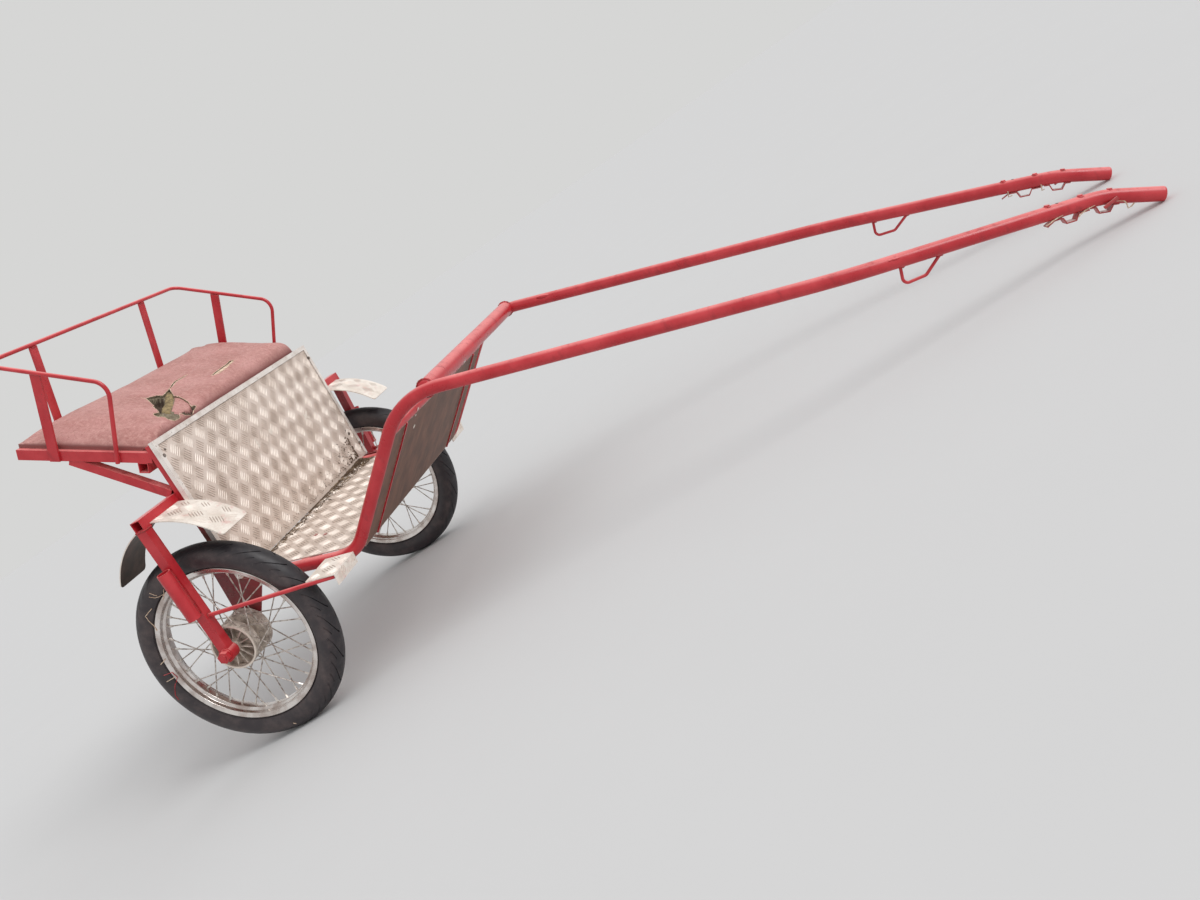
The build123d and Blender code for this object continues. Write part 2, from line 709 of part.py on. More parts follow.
# Guards: a short curved sheet ahead of the crossbar and one behind it, on each side
crossbar_front_low = on_panel(crossbar_up_panel - frame_bar / 4, post_back - seat_gap)
crossbar_rear_low = on_panel(crossbar_up_panel - frame_bar / 2 - seat_gap, post_back + frame_bar)
guard_inner = edging_outer + seat_gap
for name, side in sides:
    front_start = crossbar_front_low
    front_end = (guard_front_reach, guard_front_rise)
    front_middle = (
        (front_start[0] + front_end[0]) / 2,
        (front_start[1] + front_end[1]) / 2 + 2 * guard_crest_rise,
    )
    rear_start = crossbar_rear_low
    rear_end = (-guard_tail_reach, guard_tail_rise)
    chord = Vector(rear_end[0] - rear_start[0], rear_end[1] - rear_start[1])
    bulge = chord.normalized().rotate(Axis.Z, -right_angle) * guard_tail_bulge
    rear_middle = (
        (rear_start[0] + rear_end[0]) / 2 + bulge.X,
        (rear_start[1] + rear_end[1]) / 2 + bulge.Y,
    )
    with BuildPart() as guard:
        for first, middle, last, low in (
            (front_start, front_middle, front_end, guard_inner),
            (rear_start, rear_middle, rear_end, rear_guard_inner_half_width),
        ):
            with BuildSketch(side_plane(low if side < 0 else guard_outer_half_width, side)):
                with BuildLine():
                    curve = ThreePointArc(first, middle, last)
                    offset(curve, amount=plate_thickness, side=Side.RIGHT)
                make_face()
            extrude(amount=guard_outer_half_width - low)
        short_edges = guard.edges().filter_by(lambda edge: edge.length < 2 * plate_thickness)
        fillet(short_edges.group_by(Axis.X)[-1], guard_corner_radius)
        short_edges = guard.edges().filter_by(lambda edge: edge.length < 2 * plate_thickness)
        fillet(short_edges.group_by(Axis.Z)[0], guard_corner_radius)
        with BuildSketch(crossbar_plane):
            Rectangle(frame_bar + 2 * seat_gap, frame_bar + 2 * seat_gap)
        extrude(amount=crossbar_half_length, both=True, mode=Mode.SUBTRACT)
    store(guard.part, "wheel_guard_" + name)

# Seat frame: square tube on four sides, raked a little, and a cross tube under its front
rail_turn = math.radians(seat_rake)
seat_dir = (-math.cos(rail_turn), 0, math.sin(rail_turn))
frame_top_lift = frame_bar / 2


def on_seat(back, up):
    """A point behind the posts along the seat rails' centre line, and square above it."""
    spot = along(seat_front, seat_plane_turn, back)
    return along(spot, seat_plane_turn - right_angle, up)


rail_low = on_panel(panel_length - seat_front_drop, post_back + seat_gap)
with BuildPart() as seat_frame:
    frame_plane = Plane(
        origin=(on_seat(0, 0)[0], 0, on_seat(0, 0)[1]),
        x_dir=seat_dir,
        z_dir=(math.sin(rail_turn), 0, math.cos(rail_turn)),
    )
    with BuildSketch(frame_plane):
        with Locations((seat_depth / 2, 0)):
            Rectangle(seat_depth, 2 * frame_half_width + frame_bar)
        with Locations((seat_depth / 2 - frame_bar, 0)):
            Rectangle(seat_depth, 2 * frame_half_width - frame_bar, mode=Mode.SUBTRACT)
    extrude(amount=frame_bar / 2, both=True)
    with BuildSketch(frame_plane):
        with Locations((seat_depth / 2 - frame_wall, 0)):
            Rectangle(seat_depth, 2 * frame_half_width + frame_bar - 2 * frame_wall)
        with Locations((seat_depth / 2 - frame_bar + frame_wall, 0)):
            Rectangle(seat_depth, 2 * frame_half_width - frame_bar + 2 * frame_wall, mode=Mode.SUBTRACT)
    extrude(amount=frame_bar / 2 - frame_wall, both=True, mode=Mode.SUBTRACT)
    split(
        bisect_by=Plane(origin=(rail_low[0], 0, rail_low[1]), z_dir=edging_lift),
        keep=Keep.BOTTOM,
    )
store(seat_frame.part, "seat_frame")

# Square tube across under the front of the seat, with open ends
front_tube_spot = on_seat(frame_bar, -frame_bar)
with BuildPart() as seat_front_tube:
    with BuildSketch(
        Plane(origin=(front_tube_spot[0], 0, front_tube_spot[1]), x_dir=seat_dir, z_dir=(0, 1, 0))
    ):
        Rectangle(frame_bar, frame_bar)
        Rectangle(frame_bar - 2 * frame_wall, frame_bar - 2 * frame_wall, mode=Mode.SUBTRACT)
    extrude(amount=frame_half_width + frame_bar / 2, both=True)
store(seat_front_tube.part, "seat_front_tube")

# Struts from the seat rails down to the crossbar
strut_out = frame_half_width
for name, side in sides:
    strut_high = on_seat(strut_set_back, -frame_bar / 2 - seat_gap)
    strut_low = on_panel(crossbar_up_panel + frame_bar / 2 + seat_gap, post_back + frame_bar / 2)
    strut = bar_between(
        (strut_low[0], side * strut_out, strut_low[1]),
        (strut_high[0], side * strut_out, strut_high[1]),
        bearer_bar, bearer_bar, frame_wall,
    )
    with BuildPart() as seat_strut:
        add(strut)
        split(
            bisect_by=Plane(origin=(strut_high[0], 0, strut_high[1]),
                            z_dir=(math.sin(rail_turn), 0, math.cos(rail_turn))),
            keep=Keep.BOTTOM,
        )
        split(
            bisect_by=Plane(origin=(strut_low[0], 0, strut_low[1]),
                            z_dir=(-math.sin(math.radians(panel_tilt)), 0,
                                   math.cos(math.radians(panel_tilt)))),
            keep=Keep.TOP,
        )
    store(seat_strut.part, "seat_strut_" + name)

# Plywood seat board on the rails and the cushion on it
board_spot = on_seat(seat_depth / 2, frame_top_lift)
seat_up = (math.sin(rail_turn), 0, math.cos(rail_turn))
with BuildPart() as seat_board:
    with BuildSketch(
        Plane(origin=(board_spot[0], 0, board_spot[1]), x_dir=seat_dir, z_dir=seat_up)
    ):
        with Locations((frame_bar / 2, 0)):
            Rectangle(seat_depth - frame_bar, 2 * frame_half_width)
    extrude(amount=seat_board_thickness)
store(seat_board.part, "seat_board")

cushion_spot = on_seat(seat_depth / 2, frame_top_lift + seat_board_thickness + seat_gap)
cushion_depth = seat_depth - seat_gap
with BuildPart() as seat_cushion:
    with BuildSketch(
        Plane(origin=(cushion_spot[0], 0, cushion_spot[1]), x_dir=seat_dir, z_dir=seat_up)
    ):
        with Locations((-seat_gap / 2, 0)):
            RectangleRounded(cushion_depth, 2 * frame_half_width, cushion_corner)
    extrude(amount=cushion_height)
    fillet(seat_cushion.faces().sort_by(Axis.Z)[-1].edges(), cushion_crown)
store(seat_cushion.part, "seat_cushion")

# Railing rod round the seat's sides and back
rod_half_width = frame_half_width + frame_bar / 2 + seat_gap + rod_radius
foot_spot = on_seat(railing_foot_set_back, -frame_bar / 2)
front_spot = on_seat(railing_foot_set_back - railing_front_lean, railing_front_rise)
rear_spot = on_seat(seat_depth + railing_rear_lean, railing_rear_rise)
rail_stops = [(spot[0], -rod_half_width, spot[1]) for spot in (foot_spot, front_spot, rear_spot)]
rail_stops += [(spot[0], rod_half_width, spot[1]) for spot in (rear_spot, front_spot, foot_spot)]
with BuildPart() as railing_rod:
    with BuildLine() as rail_line:
        FilletPolyline(
            *rail_stops,
            radius=[railing_bend_radius, railing_corner_radius, railing_corner_radius, railing_bend_radius],
        )
    with BuildSketch(Plane(origin=rail_stops[0], z_dir=Vector(*rail_stops[1]) - Vector(*rail_stops[0]))):
        Circle(rod_radius)
    sweep(path=rail_line.line)
store(railing_rod.part, "railing_rod")

# Flat posts that hold the rod: one on each seat rail and two on the rear rail
rod_pitch = (railing_rear_rise - railing_front_rise) / (
    seat_depth + railing_rear_lean - railing_foot_set_back + railing_front_lean
)


def under_rod(back):
    """Height over the seat rails of the railing rod's underside at a set-back."""
    run = back - railing_foot_set_back + railing_front_lean
    drop = (rod_radius + seat_gap) * math.hypot(1.0, rod_pitch)
    return railing_front_rise + run * rod_pitch - drop


post_near = side_post_set_back - flat_bar_width / 2
post_far = side_post_set_back + flat_bar_width / 2
side_outline = [
    on_seat(post_near, -frame_bar / 2),
    on_seat(post_near, under_rod(post_near)),
    on_seat(post_far, under_rod(post_far)),
    on_seat(post_far, -frame_bar / 2),
]
side_inner = frame_half_width + frame_bar / 2 + seat_gap
rear_foot = on_seat(seat_depth + seat_gap + flat_bar_thickness / 2, -frame_bar / 2)
rear_head = on_seat(seat_depth + railing_rear_lean, railing_rear_rise)
rear_lean_run = Vector(rear_head[0] - rear_foot[0], 0, rear_head[1] - rear_foot[1])
rear_post_length = rear_lean_run.length - rod_radius - seat_gap
with BuildPart() as railing_posts:
    for name, side in sides:
        with BuildSketch(side_plane(side_inner if side < 0 else side_inner + flat_bar_thickness, side)):
            with BuildLine():
                Polyline(*side_outline, close=True)
            make_face()
        extrude(amount=flat_bar_thickness)
        post_start = (rear_foot[0], side * rear_post_half_spacing, rear_foot[1])
        with BuildSketch(Plane(origin=post_start, x_dir=(0, 1, 0), z_dir=rear_lean_run)):
            Rectangle(flat_bar_width, flat_bar_thickness)
        extrude(amount=rear_post_length)
    with BuildSketch(
        Plane(origin=(on_seat(0, 0)[0], 0, on_seat(0, 0)[1]), x_dir=seat_dir, z_dir=seat_up)
    ):
        with Locations((seat_depth / 2, 0)):
            Rectangle(seat_depth + 2 * seat_gap, 2 * side_inner)
    extrude(amount=frame_bar, both=True, mode=Mode.SUBTRACT)
store(railing_posts.part, "railing_posts")


def shaft_point(reach, below):
    """A point under the straight run between the shaft's two bends, square below its centre."""
    share = (reach - shaft_corner[0]) / (tip_corner[0] - shaft_corner[0])
    half = shaft_half_width + share * (tip_half_width - shaft_half_width)
    spot = rise_along(dash_corner, shaft_slope, reach - dash_corner[0])
    turn = math.radians(shaft_slope)
    return (spot[0] + below * math.sin(turn), half, spot[1] - below * math.cos(turn))


# Bent rod loops under the shafts, for the traces
loop_stops = [
    shaft_point(loop_reach, shaft_radius),
    shaft_point(loop_reach, shaft_radius + loop_drop),
    shaft_point(loop_reach + loop_low_run, shaft_radius + loop_low_drop),
    shaft_point(loop_reach + loop_length, shaft_radius),
]
for name, side in sides:
    stops = [(stop[0], side * stop[1], stop[2]) for stop in loop_stops]
    with BuildPart() as trace_loop:
        with BuildLine() as loop_line:
            FilletPolyline(*stops, radius=[loop_corner_radius, loop_corner_radius])
        with BuildSketch(Plane(origin=stops[0], z_dir=Vector(*stops[1]) - Vector(*stops[0]))):
            Circle(loop_rod / 2)
        sweep(path=loop_line.line)
        shaft_start = shaft_point(loop_reach - loop_length, 0.0)
        shaft_stop = shaft_point(loop_reach + 2 * loop_length, 0.0)
        clear_start = (shaft_start[0], side * shaft_start[1], shaft_start[2])
        clear_stop = (shaft_stop[0], side * shaft_stop[1], shaft_stop[2])
        add(
            rod_between(clear_start, clear_stop, shaft_diameter + 2 * seat_gap),
            mode=Mode.SUBTRACT,
        )
    store(trace_loop.part, "trace_loop_" + name)

# Straps under the shaft ends: one long with a staple bent into it, one short over the tip bend
line_start = Vector(shaft_corner[0], shaft_half_width, shaft_corner[1])
line_bend = Vector(tip_corner[0], tip_half_width, tip_corner[1])
line_end = Vector(tip_end[0], tip_half_width, tip_end[1])
run_before = (line_bend - line_start).normalized()
run_after = (line_end - line_bend).normalized()
half_bend = math.radians(run_before.get_angle(run_after) / 2)
bend_cut = tip_bend_radius * (1.0 / math.cos(half_bend) - 1.0)
bend_middle = line_bend + (run_after - run_before).normalized() * bend_cut
long_start = Vector(*shaft_point(strap_reach, 0.0))
foot_lift = -shaft_radius - strap_thickness + seat_gap
staple_lift = foot_lift - staple_drop
staple_path = [(0.0, foot_lift), (strap_step, staple_lift), (strap_step + staple_gap, staple_lift)]
staple_path += [(2 * strap_step + staple_gap, foot_lift), (2 * strap_step + staple_gap + strap_foot, foot_lift)]
long_path = [(0.0, foot_lift - strap_end_drop), (strap_foot - strap_step, foot_lift)]
long_path += [(strap_foot + strap_foot / 2 + across, lift) for across, lift in staple_path]
short_reach = strap_step + staple_gap / 2
short_path = [(-short_reach - strap_foot / 2, foot_lift)]
short_path += [(across - short_reach, lift) for across, lift in staple_path[:-1]]
short_path += [(short_reach + strap_foot / 2, foot_lift)]
lug_out = shaft_radius + lug_diameter / 2 - lug_seat
lug_foot = line_bend + Vector(0, lug_out, -lug_rise)
# Where each strap starts, which way it runs, and its side view
straps = (
    (long_start, run_before, long_path),
    (bend_middle, (run_before + run_after).normalized(), short_path),
)
for name, side in sides:
    with BuildPart() as tip_fittings:
        for spot, run, path in straps:
            across = Vector(0, 0, 1).cross(run).normalized()
            view = Plane(
                origin=(spot.X + across.X * strap_width / 2, spot.Y + across.Y * strap_width / 2, spot.Z),
                x_dir=run,
                z_dir=-across,
            )
            with BuildSketch(view):
                with BuildLine():
                    strap_line = Polyline(*path)
                    offset(strap_line, amount=strap_thickness, side=Side.LEFT)
                make_face()
            extrude(amount=strap_width)
        add(rod_between(lug_foot, lug_foot + Vector(lug_run, 0, lug_rise), lug_diameter))
        with BuildLine() as tip_line:
            FilletPolyline(line_start, line_bend, line_end, radius=tip_bend_radius)
        with BuildSketch(Plane(origin=line_start, z_dir=run_before)):
            Circle(shaft_radius + seat_gap)
        sweep(path=tip_line.line, mode=Mode.SUBTRACT)
    finished = tip_fittings.part if side > 0 else mirror(tip_fittings.part, about=Plane.XZ)
    store(finished, "tip_fittings_" + name)

# Wheels: tyre, rim, spokes and cast hub, drawn on the left and mirrored to the right
rim_half = rim_width / 2
flange_inside = rim_half - rim_wall
flange_radius = rim_flange_diameter / 2
rim_seat_radius = rim_seat_diameter / 2
well_radius = rim_well_diameter / 2
well_half = rim_well_width / 2
well_slope_run = rim_seat_radius - well_radius
rim_outline = [
    (rim_half, flange_radius),
    (flange_inside, flange_radius),
    (flange_inside, rim_seat_radius),
    (well_half + well_slope_run / 2, rim_seat_radius),
    (well_half, well_radius),
    (-well_half, well_radius),
    (-well_half - well_slope_run / 2, rim_seat_radius),
    (-flange_inside, rim_seat_radius),
    (-flange_inside, flange_radius),
    (-rim_half, flange_radius),
    (-rim_half, rim_seat_radius - rim_wall),
    (-well_half - well_slope_run / 2 - rim_wall / 2, rim_seat_radius - rim_wall),
    (-well_half - rim_wall / 2, well_radius - rim_wall),
    (well_half + rim_wall / 2, well_radius - rim_wall),
    (well_half + well_slope_run / 2 + rim_wall / 2, rim_seat_radius - rim_wall),
    (rim_half, rim_seat_radius - rim_wall),
]
wheel_plane = Plane(origin=(0, half_track, 0), x_dir=(0, 1, 0), z_dir=(1, 0, 0))
with BuildPart() as rim:
    with BuildSketch(wheel_plane):
        with BuildLine():
            Polyline(*rim_outline, close=True)
        make_face()
    revolve(axis=Axis.Y)

bead_outer = flange_inside - seat_gap
bead_radius = rim_seat_radius + seat_gap
side_half = tyre_width / 2
# Tyre outline from rim to crown: share of half the width, share of the height over the rim seat
tyre_bands = (
    (1.0, 0.42),
    (0.88, 0.74),
    (0.32, 1.0),
)
section_height = tyre_radius - bead_radius
outer_points = [(share * side_half, bead_radius + rise * section_height) for share, rise in tyre_bands]
right_side = [(bead_outer, bead_radius), (bead_outer, flange_radius + seat_gap)] + outer_points
left_side = [(-across, radius) for across, radius in reversed(right_side)]
tyre_outline = right_side + left_side
with BuildPart() as tyre:
    with BuildSketch(wheel_plane):
        with BuildLine():
            Polyline(*tyre_outline, close=True)
        make_face()
    revolve(axis=Axis.Y)

flange_r = hub_flange_diameter / 2
barrel_r = hub_barrel_diameter / 2
boss_r = hub_boss_diameter / 2
bore_r = spindle_radius + running_clearance
recess_floor = hub_outer - hub_recess_depth
hub_outline = [
    (hub_inner, bore_r),
    (hub_inner, flange_r),
    (hub_inner + hub_drum_length, flange_r),
    (hub_inner + hub_drum_length, barrel_r),
    (recess_floor - hub_flange_thickness, barrel_r),
    (recess_floor - hub_flange_thickness, flange_r),
    (hub_outer, flange_r),
    (hub_outer, flange_r - hub_rim_wall),
    (recess_floor, flange_r - hub_rim_wall),
    (recess_floor, boss_r),
    (hub_outer, boss_r),
    (hub_outer, bore_r),
]
with BuildPart() as hub:
    with BuildSketch(Plane.YZ):
        with BuildLine():
            Polyline(*hub_outline, close=True)
        make_face()
    revolve(axis=Axis.Y)
    rib_plane = Plane(origin=(0, recess_floor, 0), x_dir=(1, 0, 0), z_dir=(0, 1, 0))
    with BuildSketch(rib_plane):
        with PolarLocations((flange_r - hub_rim_wall + boss_r) / 2, hub_rib_count):
            Rectangle(flange_r - hub_rim_wall - boss_r + 2 * hub_rib_root, hub_rib_thickness)
    extrude(amount=hub_recess_depth - hub_rib_drop)

rim_inside = well_radius - rim_wall - seat_gap
spoke_start = flange_r + seat_gap
flange_spots = (hub_inner + hub_drum_length - spoke_spread, hub_outer - spoke_flange_set_in)
spoke_sets = []
for index in range(spoke_count):
    flange_number = index % 2
    lean_side = 1 if index % 4 < 2 else -1
    hub_y = flange_spots[flange_number] + lean_side * spoke_spread / 2
    rim_y = half_track + (2 * flange_number - 1) * spoke_spread / 2 + lean_side * spoke_spread / 4
    rim_turn = math.radians(360.0 / spoke_count * index)
    hub_turn = rim_turn + math.radians(lean_side * spoke_lean)
    inner_r = hub_flange_diameter / 2 - spoke_spread
    outer_r = rim_inside + seat_gap
    start = (inner_r * math.sin(hub_turn), hub_y, inner_r * math.cos(hub_turn))
    stop = (outer_r * math.sin(rim_turn), rim_y, outer_r * math.cos(rim_turn))
    spoke_sets.append((start, stop))
with BuildPart() as spokes:
    for start, stop in spoke_sets:
        run = Vector(*stop) - Vector(*start)
        with BuildSketch(Plane(origin=start, z_dir=run)):
            Circle(spoke_diameter / 2)
        extrude(amount=run.length)
        nipple_foot = Vector(*stop) - run.normalized() * nipple_length
        with BuildSketch(Plane(origin=nipple_foot, z_dir=run)):
            RegularPolygon(nipple_across_flats / 2, 6, major_radius=False)
        extrude(amount=nipple_length)
    with BuildSketch(axle_plane(0.0, 1)):
        Circle(rim_inside)
        Circle(spoke_start, mode=Mode.SUBTRACT)
    extrude(amount=2 * half_track, mode=Mode.INTERSECT)

for piece, label in ((tyre.part, "tyre"), (rim.part, "rim"), (spokes.part, "spokes"), (hub.part, "hub")):
    store(piece, label + "_left")
    store(mirror(piece, about=Plane.XZ), label + "_right")
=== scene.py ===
import json
import math
import random

import bmesh
import bpy
from mathutils import Matrix, Vector, noise
from mathutils.bvhtree import BVHTree


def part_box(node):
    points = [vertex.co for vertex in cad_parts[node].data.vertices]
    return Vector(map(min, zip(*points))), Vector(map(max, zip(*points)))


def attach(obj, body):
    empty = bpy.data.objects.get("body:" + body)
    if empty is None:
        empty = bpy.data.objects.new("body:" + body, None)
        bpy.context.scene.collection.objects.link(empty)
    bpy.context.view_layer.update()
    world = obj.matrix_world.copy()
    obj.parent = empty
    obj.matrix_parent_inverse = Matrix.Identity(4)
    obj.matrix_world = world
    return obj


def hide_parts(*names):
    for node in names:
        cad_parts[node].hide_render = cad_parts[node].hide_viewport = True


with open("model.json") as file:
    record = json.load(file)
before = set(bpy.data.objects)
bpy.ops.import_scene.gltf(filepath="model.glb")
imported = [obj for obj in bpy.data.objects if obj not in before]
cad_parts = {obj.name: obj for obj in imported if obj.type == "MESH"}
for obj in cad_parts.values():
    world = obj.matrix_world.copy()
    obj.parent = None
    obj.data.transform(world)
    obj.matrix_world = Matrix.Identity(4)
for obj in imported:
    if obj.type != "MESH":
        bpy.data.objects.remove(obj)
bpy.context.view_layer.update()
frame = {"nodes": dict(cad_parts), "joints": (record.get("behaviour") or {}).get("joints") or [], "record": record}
nodes = frame["nodes"]
MM = 0.001

# The cart's own sizes, in mm, in the stance a horse holds it: x forward, y to its left, z up from
# the wheel axis
FLOOR_SLOPE = 13.7
FLOOR_TUBE_RISE = 135.0
DASH_FOOT_REACH = 339.0
DASH_SLOPE = 67.7
DASH_LENGTH = 490.0
SHAFT_SLOPE = 12.5
SHAFT_BEND_REACH = 1648.0
TIP_BEND_REACH = 2270.0
TUBE_RADIUS = 18.0
BODY_HALF_WIDTH = 455.0
CROSS_TUBE_RADIUS = 24.0
SHAFT_HALF_WIDTH = 386.0
TIP_HALF_WIDTH = 214.0
FLOOR_BEND_RADIUS = 105.0
PLATE = 3.0
SHEET_LIFT = 13.5
SHEET_HALF_WIDTH = 432.0
DASH_SHEET_LENGTH = 369.0
PANEL_TILT = 23.3
PANEL_LENGTH = 448.0
PANEL_HALF_WIDTH = 492.0
EDGING_LEG = 15.0
EDGING_TOP = 12.0
BAR = 30.0
FRAME_HALF_WIDTH = 472.0
CROSSBAR_UP_PANEL = 284.0
SEAT_RAKE = 2.0
SEAT_DEPTH = 408.0
SEAT_FRONT_DROP = 36.0
BOARD_THICKNESS = 12.0
HALF_TRACK = 566.0
LEG_FOOT_HALF_WIDTH = 630.0
LEG_TOP_HALF_WIDTH = 652.0
SEAT_GAP = 0.2

# Parked stance, worked out from the frame: the floor's own slope is known, so its mount gives the turn
AXLE = Vector(frame["joints"][0]["pos_m"])
AXLE.y = 0.0
FLOOR_MOUNT = next(m for m in frame["record"]["mounts"] if m["name"] == "floor_top")
PARK_TURN = math.atan2(FLOOR_MOUNT["axis"][0], FLOOR_MOUNT["axis"][2]) + math.radians(FLOOR_SLOPE)
PARK = Matrix.Translation(AXLE) @ Matrix.Rotation(PARK_TURN, 4, "Y")


def parked(x, y, z):
    """A point of the level cart, in mm, where it stands in the parked cart, in metres."""
    return PARK @ Vector((x * MM, y * MM, z * MM))


def level_direction(x, y, z):
    return PARK.to_3x3() @ Vector((x, y, z))


def side_point(spot, across):
    """A parked point from a point of the side view and a place across."""
    return parked(spot[0], across, spot[1])


def link(thing):
    bpy.context.scene.collection.objects.link(thing)


def mesh_from(bm, name, materials=()):
    """A bmesh turned into a mesh, with its materials."""
    mesh = bpy.data.meshes.new(name)
    bm.to_mesh(mesh)
    bm.free()
    for material in materials:
        mesh.materials.append(material)
    return mesh


def surface_tree(mesh):
    return BVHTree.FromPolygons([vert.co for vert in mesh.vertices], [face.vertices for face in mesh.polygons])


def verts_of(geometry):
    return [item for item in geometry if isinstance(item, bmesh.types.BMVert)]


def around(spots):
    """The sides of a closed outline, as pairs of points."""
    return zip(spots, spots[1:] + spots[:1])


def along(start, slope, length):
    turn = math.radians(slope)
    return (start[0] + length * math.cos(turn), start[1] + length * math.sin(turn))


def off_floor(reach, lift):
    """A point over the floor line of the side view, lifted square to it."""
    turn = math.radians(FLOOR_SLOPE)
    rise = FLOOR_TUBE_RISE + reach * math.tan(turn)
    return (reach - lift * math.sin(turn), rise + lift * math.cos(turn))


FLOOR_CORNER = off_floor(DASH_FOOT_REACH, 0.0)
DASH_CORNER = along(FLOOR_CORNER, DASH_SLOPE, DASH_LENGTH)
PANEL_FOOT = off_floor(TUBE_RADIUS * math.sin(math.radians(FLOOR_SLOPE)), TUBE_RADIUS + SEAT_GAP)


def on_panel(up, back):
    """A point of the side view up the sloping panel's front face and square behind it."""
    foot = along(PANEL_FOOT, 90.0 + PANEL_TILT, up)
    return along(foot, 180.0 + PANEL_TILT, back)


POST_BACK = PLATE + BAR
SEAT_FRONT = on_panel(PANEL_LENGTH - SEAT_FRONT_DROP, POST_BACK)


def on_seat(back, up):
    """A point of the side view behind the posts along the seat rails and square above them."""
    spot = along(SEAT_FRONT, 180.0 - SEAT_RAKE, back)
    return along(spot, 90.0 - SEAT_RAKE, up)


CROSSBAR_UNDER = on_panel(CROSSBAR_UP_PANEL - BAR / 2, POST_BACK + BAR / 2)
LEG_RUN = math.hypot(*CROSSBAR_UNDER)
LEG_SLOPE = math.degrees(math.atan2(CROSSBAR_UNDER[1], CROSSBAR_UNDER[0]))


def on_leg(up, out, ahead, side):
    """A point on a fork leg: up from the spindle, out from the leg's axis and ahead of it."""
    spot = along(along((0.0, 0.0), LEG_SLOPE, up), LEG_SLOPE - 90.0, ahead)
    half = LEG_FOOT_HALF_WIDTH + up / LEG_RUN * (LEG_TOP_HALF_WIDTH - LEG_FOOT_HALF_WIDTH) + out
    return (spot[0], side * half, spot[1])


def on_shaft(reach, side):
    """The centre of a shaft at a reach between its upper bend and its tip bend."""
    if reach < SHAFT_BEND_REACH:
        share = (reach - DASH_CORNER[0]) / (SHAFT_BEND_REACH - DASH_CORNER[0])
        half = BODY_HALF_WIDTH + share * (SHAFT_HALF_WIDTH - BODY_HALF_WIDTH)
    else:
        share = (reach - SHAFT_BEND_REACH) / (TIP_BEND_REACH - SHAFT_BEND_REACH)
        half = SHAFT_HALF_WIDTH + share * (TIP_HALF_WIDTH - SHAFT_HALF_WIDTH)
    rise = DASH_CORNER[1] + (reach - DASH_CORNER[0]) * math.tan(math.radians(SHAFT_SLOPE))
    return (reach, side * half, rise)


# Camera, fitted to the photograph: it stands to the cart's right, held as it was against the cart
CAMERA_SPOT = Vector((1.482, -2.900, 1.448))
CAMERA_AZIMUTH = math.radians(10.15)
CAMERA_PITCH = math.radians(20.59)
CAMERA_ROLL = math.radians(-4.31)
FOCAL_LENGTH_PX = 1034.2
IMAGE_WIDTH_PX = 1200.0
SENSOR_WIDTH = 36.0
FAR_CLIP = 2000.0


def make_camera():
    forward = Vector((
        -math.sin(CAMERA_AZIMUTH) * math.cos(CAMERA_PITCH),
        math.cos(CAMERA_AZIMUTH) * math.cos(CAMERA_PITCH),
        -math.sin(CAMERA_PITCH),
    ))
    level_right = Vector((math.cos(CAMERA_AZIMUTH), math.sin(CAMERA_AZIMUTH), 0.0))
    level_up = level_right.cross(forward)
    right = math.cos(CAMERA_ROLL) * level_right + math.sin(CAMERA_ROLL) * level_up
    up = -math.sin(CAMERA_ROLL) * level_right + math.cos(CAMERA_ROLL) * level_up
    turn = Matrix((right, up, -forward)).transposed().to_4x4()
    lens = bpy.data.cameras.new("camera")
    lens.sensor_width = SENSOR_WIDTH
    lens.lens = FOCAL_LENGTH_PX / IMAGE_WIDTH_PX * SENSOR_WIDTH
    lens.clip_end = FAR_CLIP
    camera = bpy.data.objects.new("camera", lens)
    camera.matrix_world = PARK @ Matrix.Translation(CAMERA_SPOT) @ turn
    link(camera)
    bpy.context.scene.camera = camera


make_camera()


# Colours and nodes
def linear(hex_colour):
    """A written sRGB colour as the linear one that a shader takes."""
    parts = [int(hex_colour[i:i + 2], 16) / 255.0 for i in (1, 3, 5)]
    parts = [c / 12.92 if c <= 0.04045 else ((c + 0.055) / 1.055) ** 2.4 for c in parts]
    return (*parts, 1.0)


def add_node(tree, kind, inputs=None, **settings):
    """Adds a node, sets it, and gives each named input its value or links the output it comes from."""
    node = tree.nodes.new(kind)
    for name, value in settings.items():
        setattr(node, name, value)
    for name, value in (inputs or {}).items():
        if isinstance(value, bpy.types.NodeSocket):
            tree.links.new(value, node.inputs[name])
        else:
            node.inputs[name].default_value = value
    return node


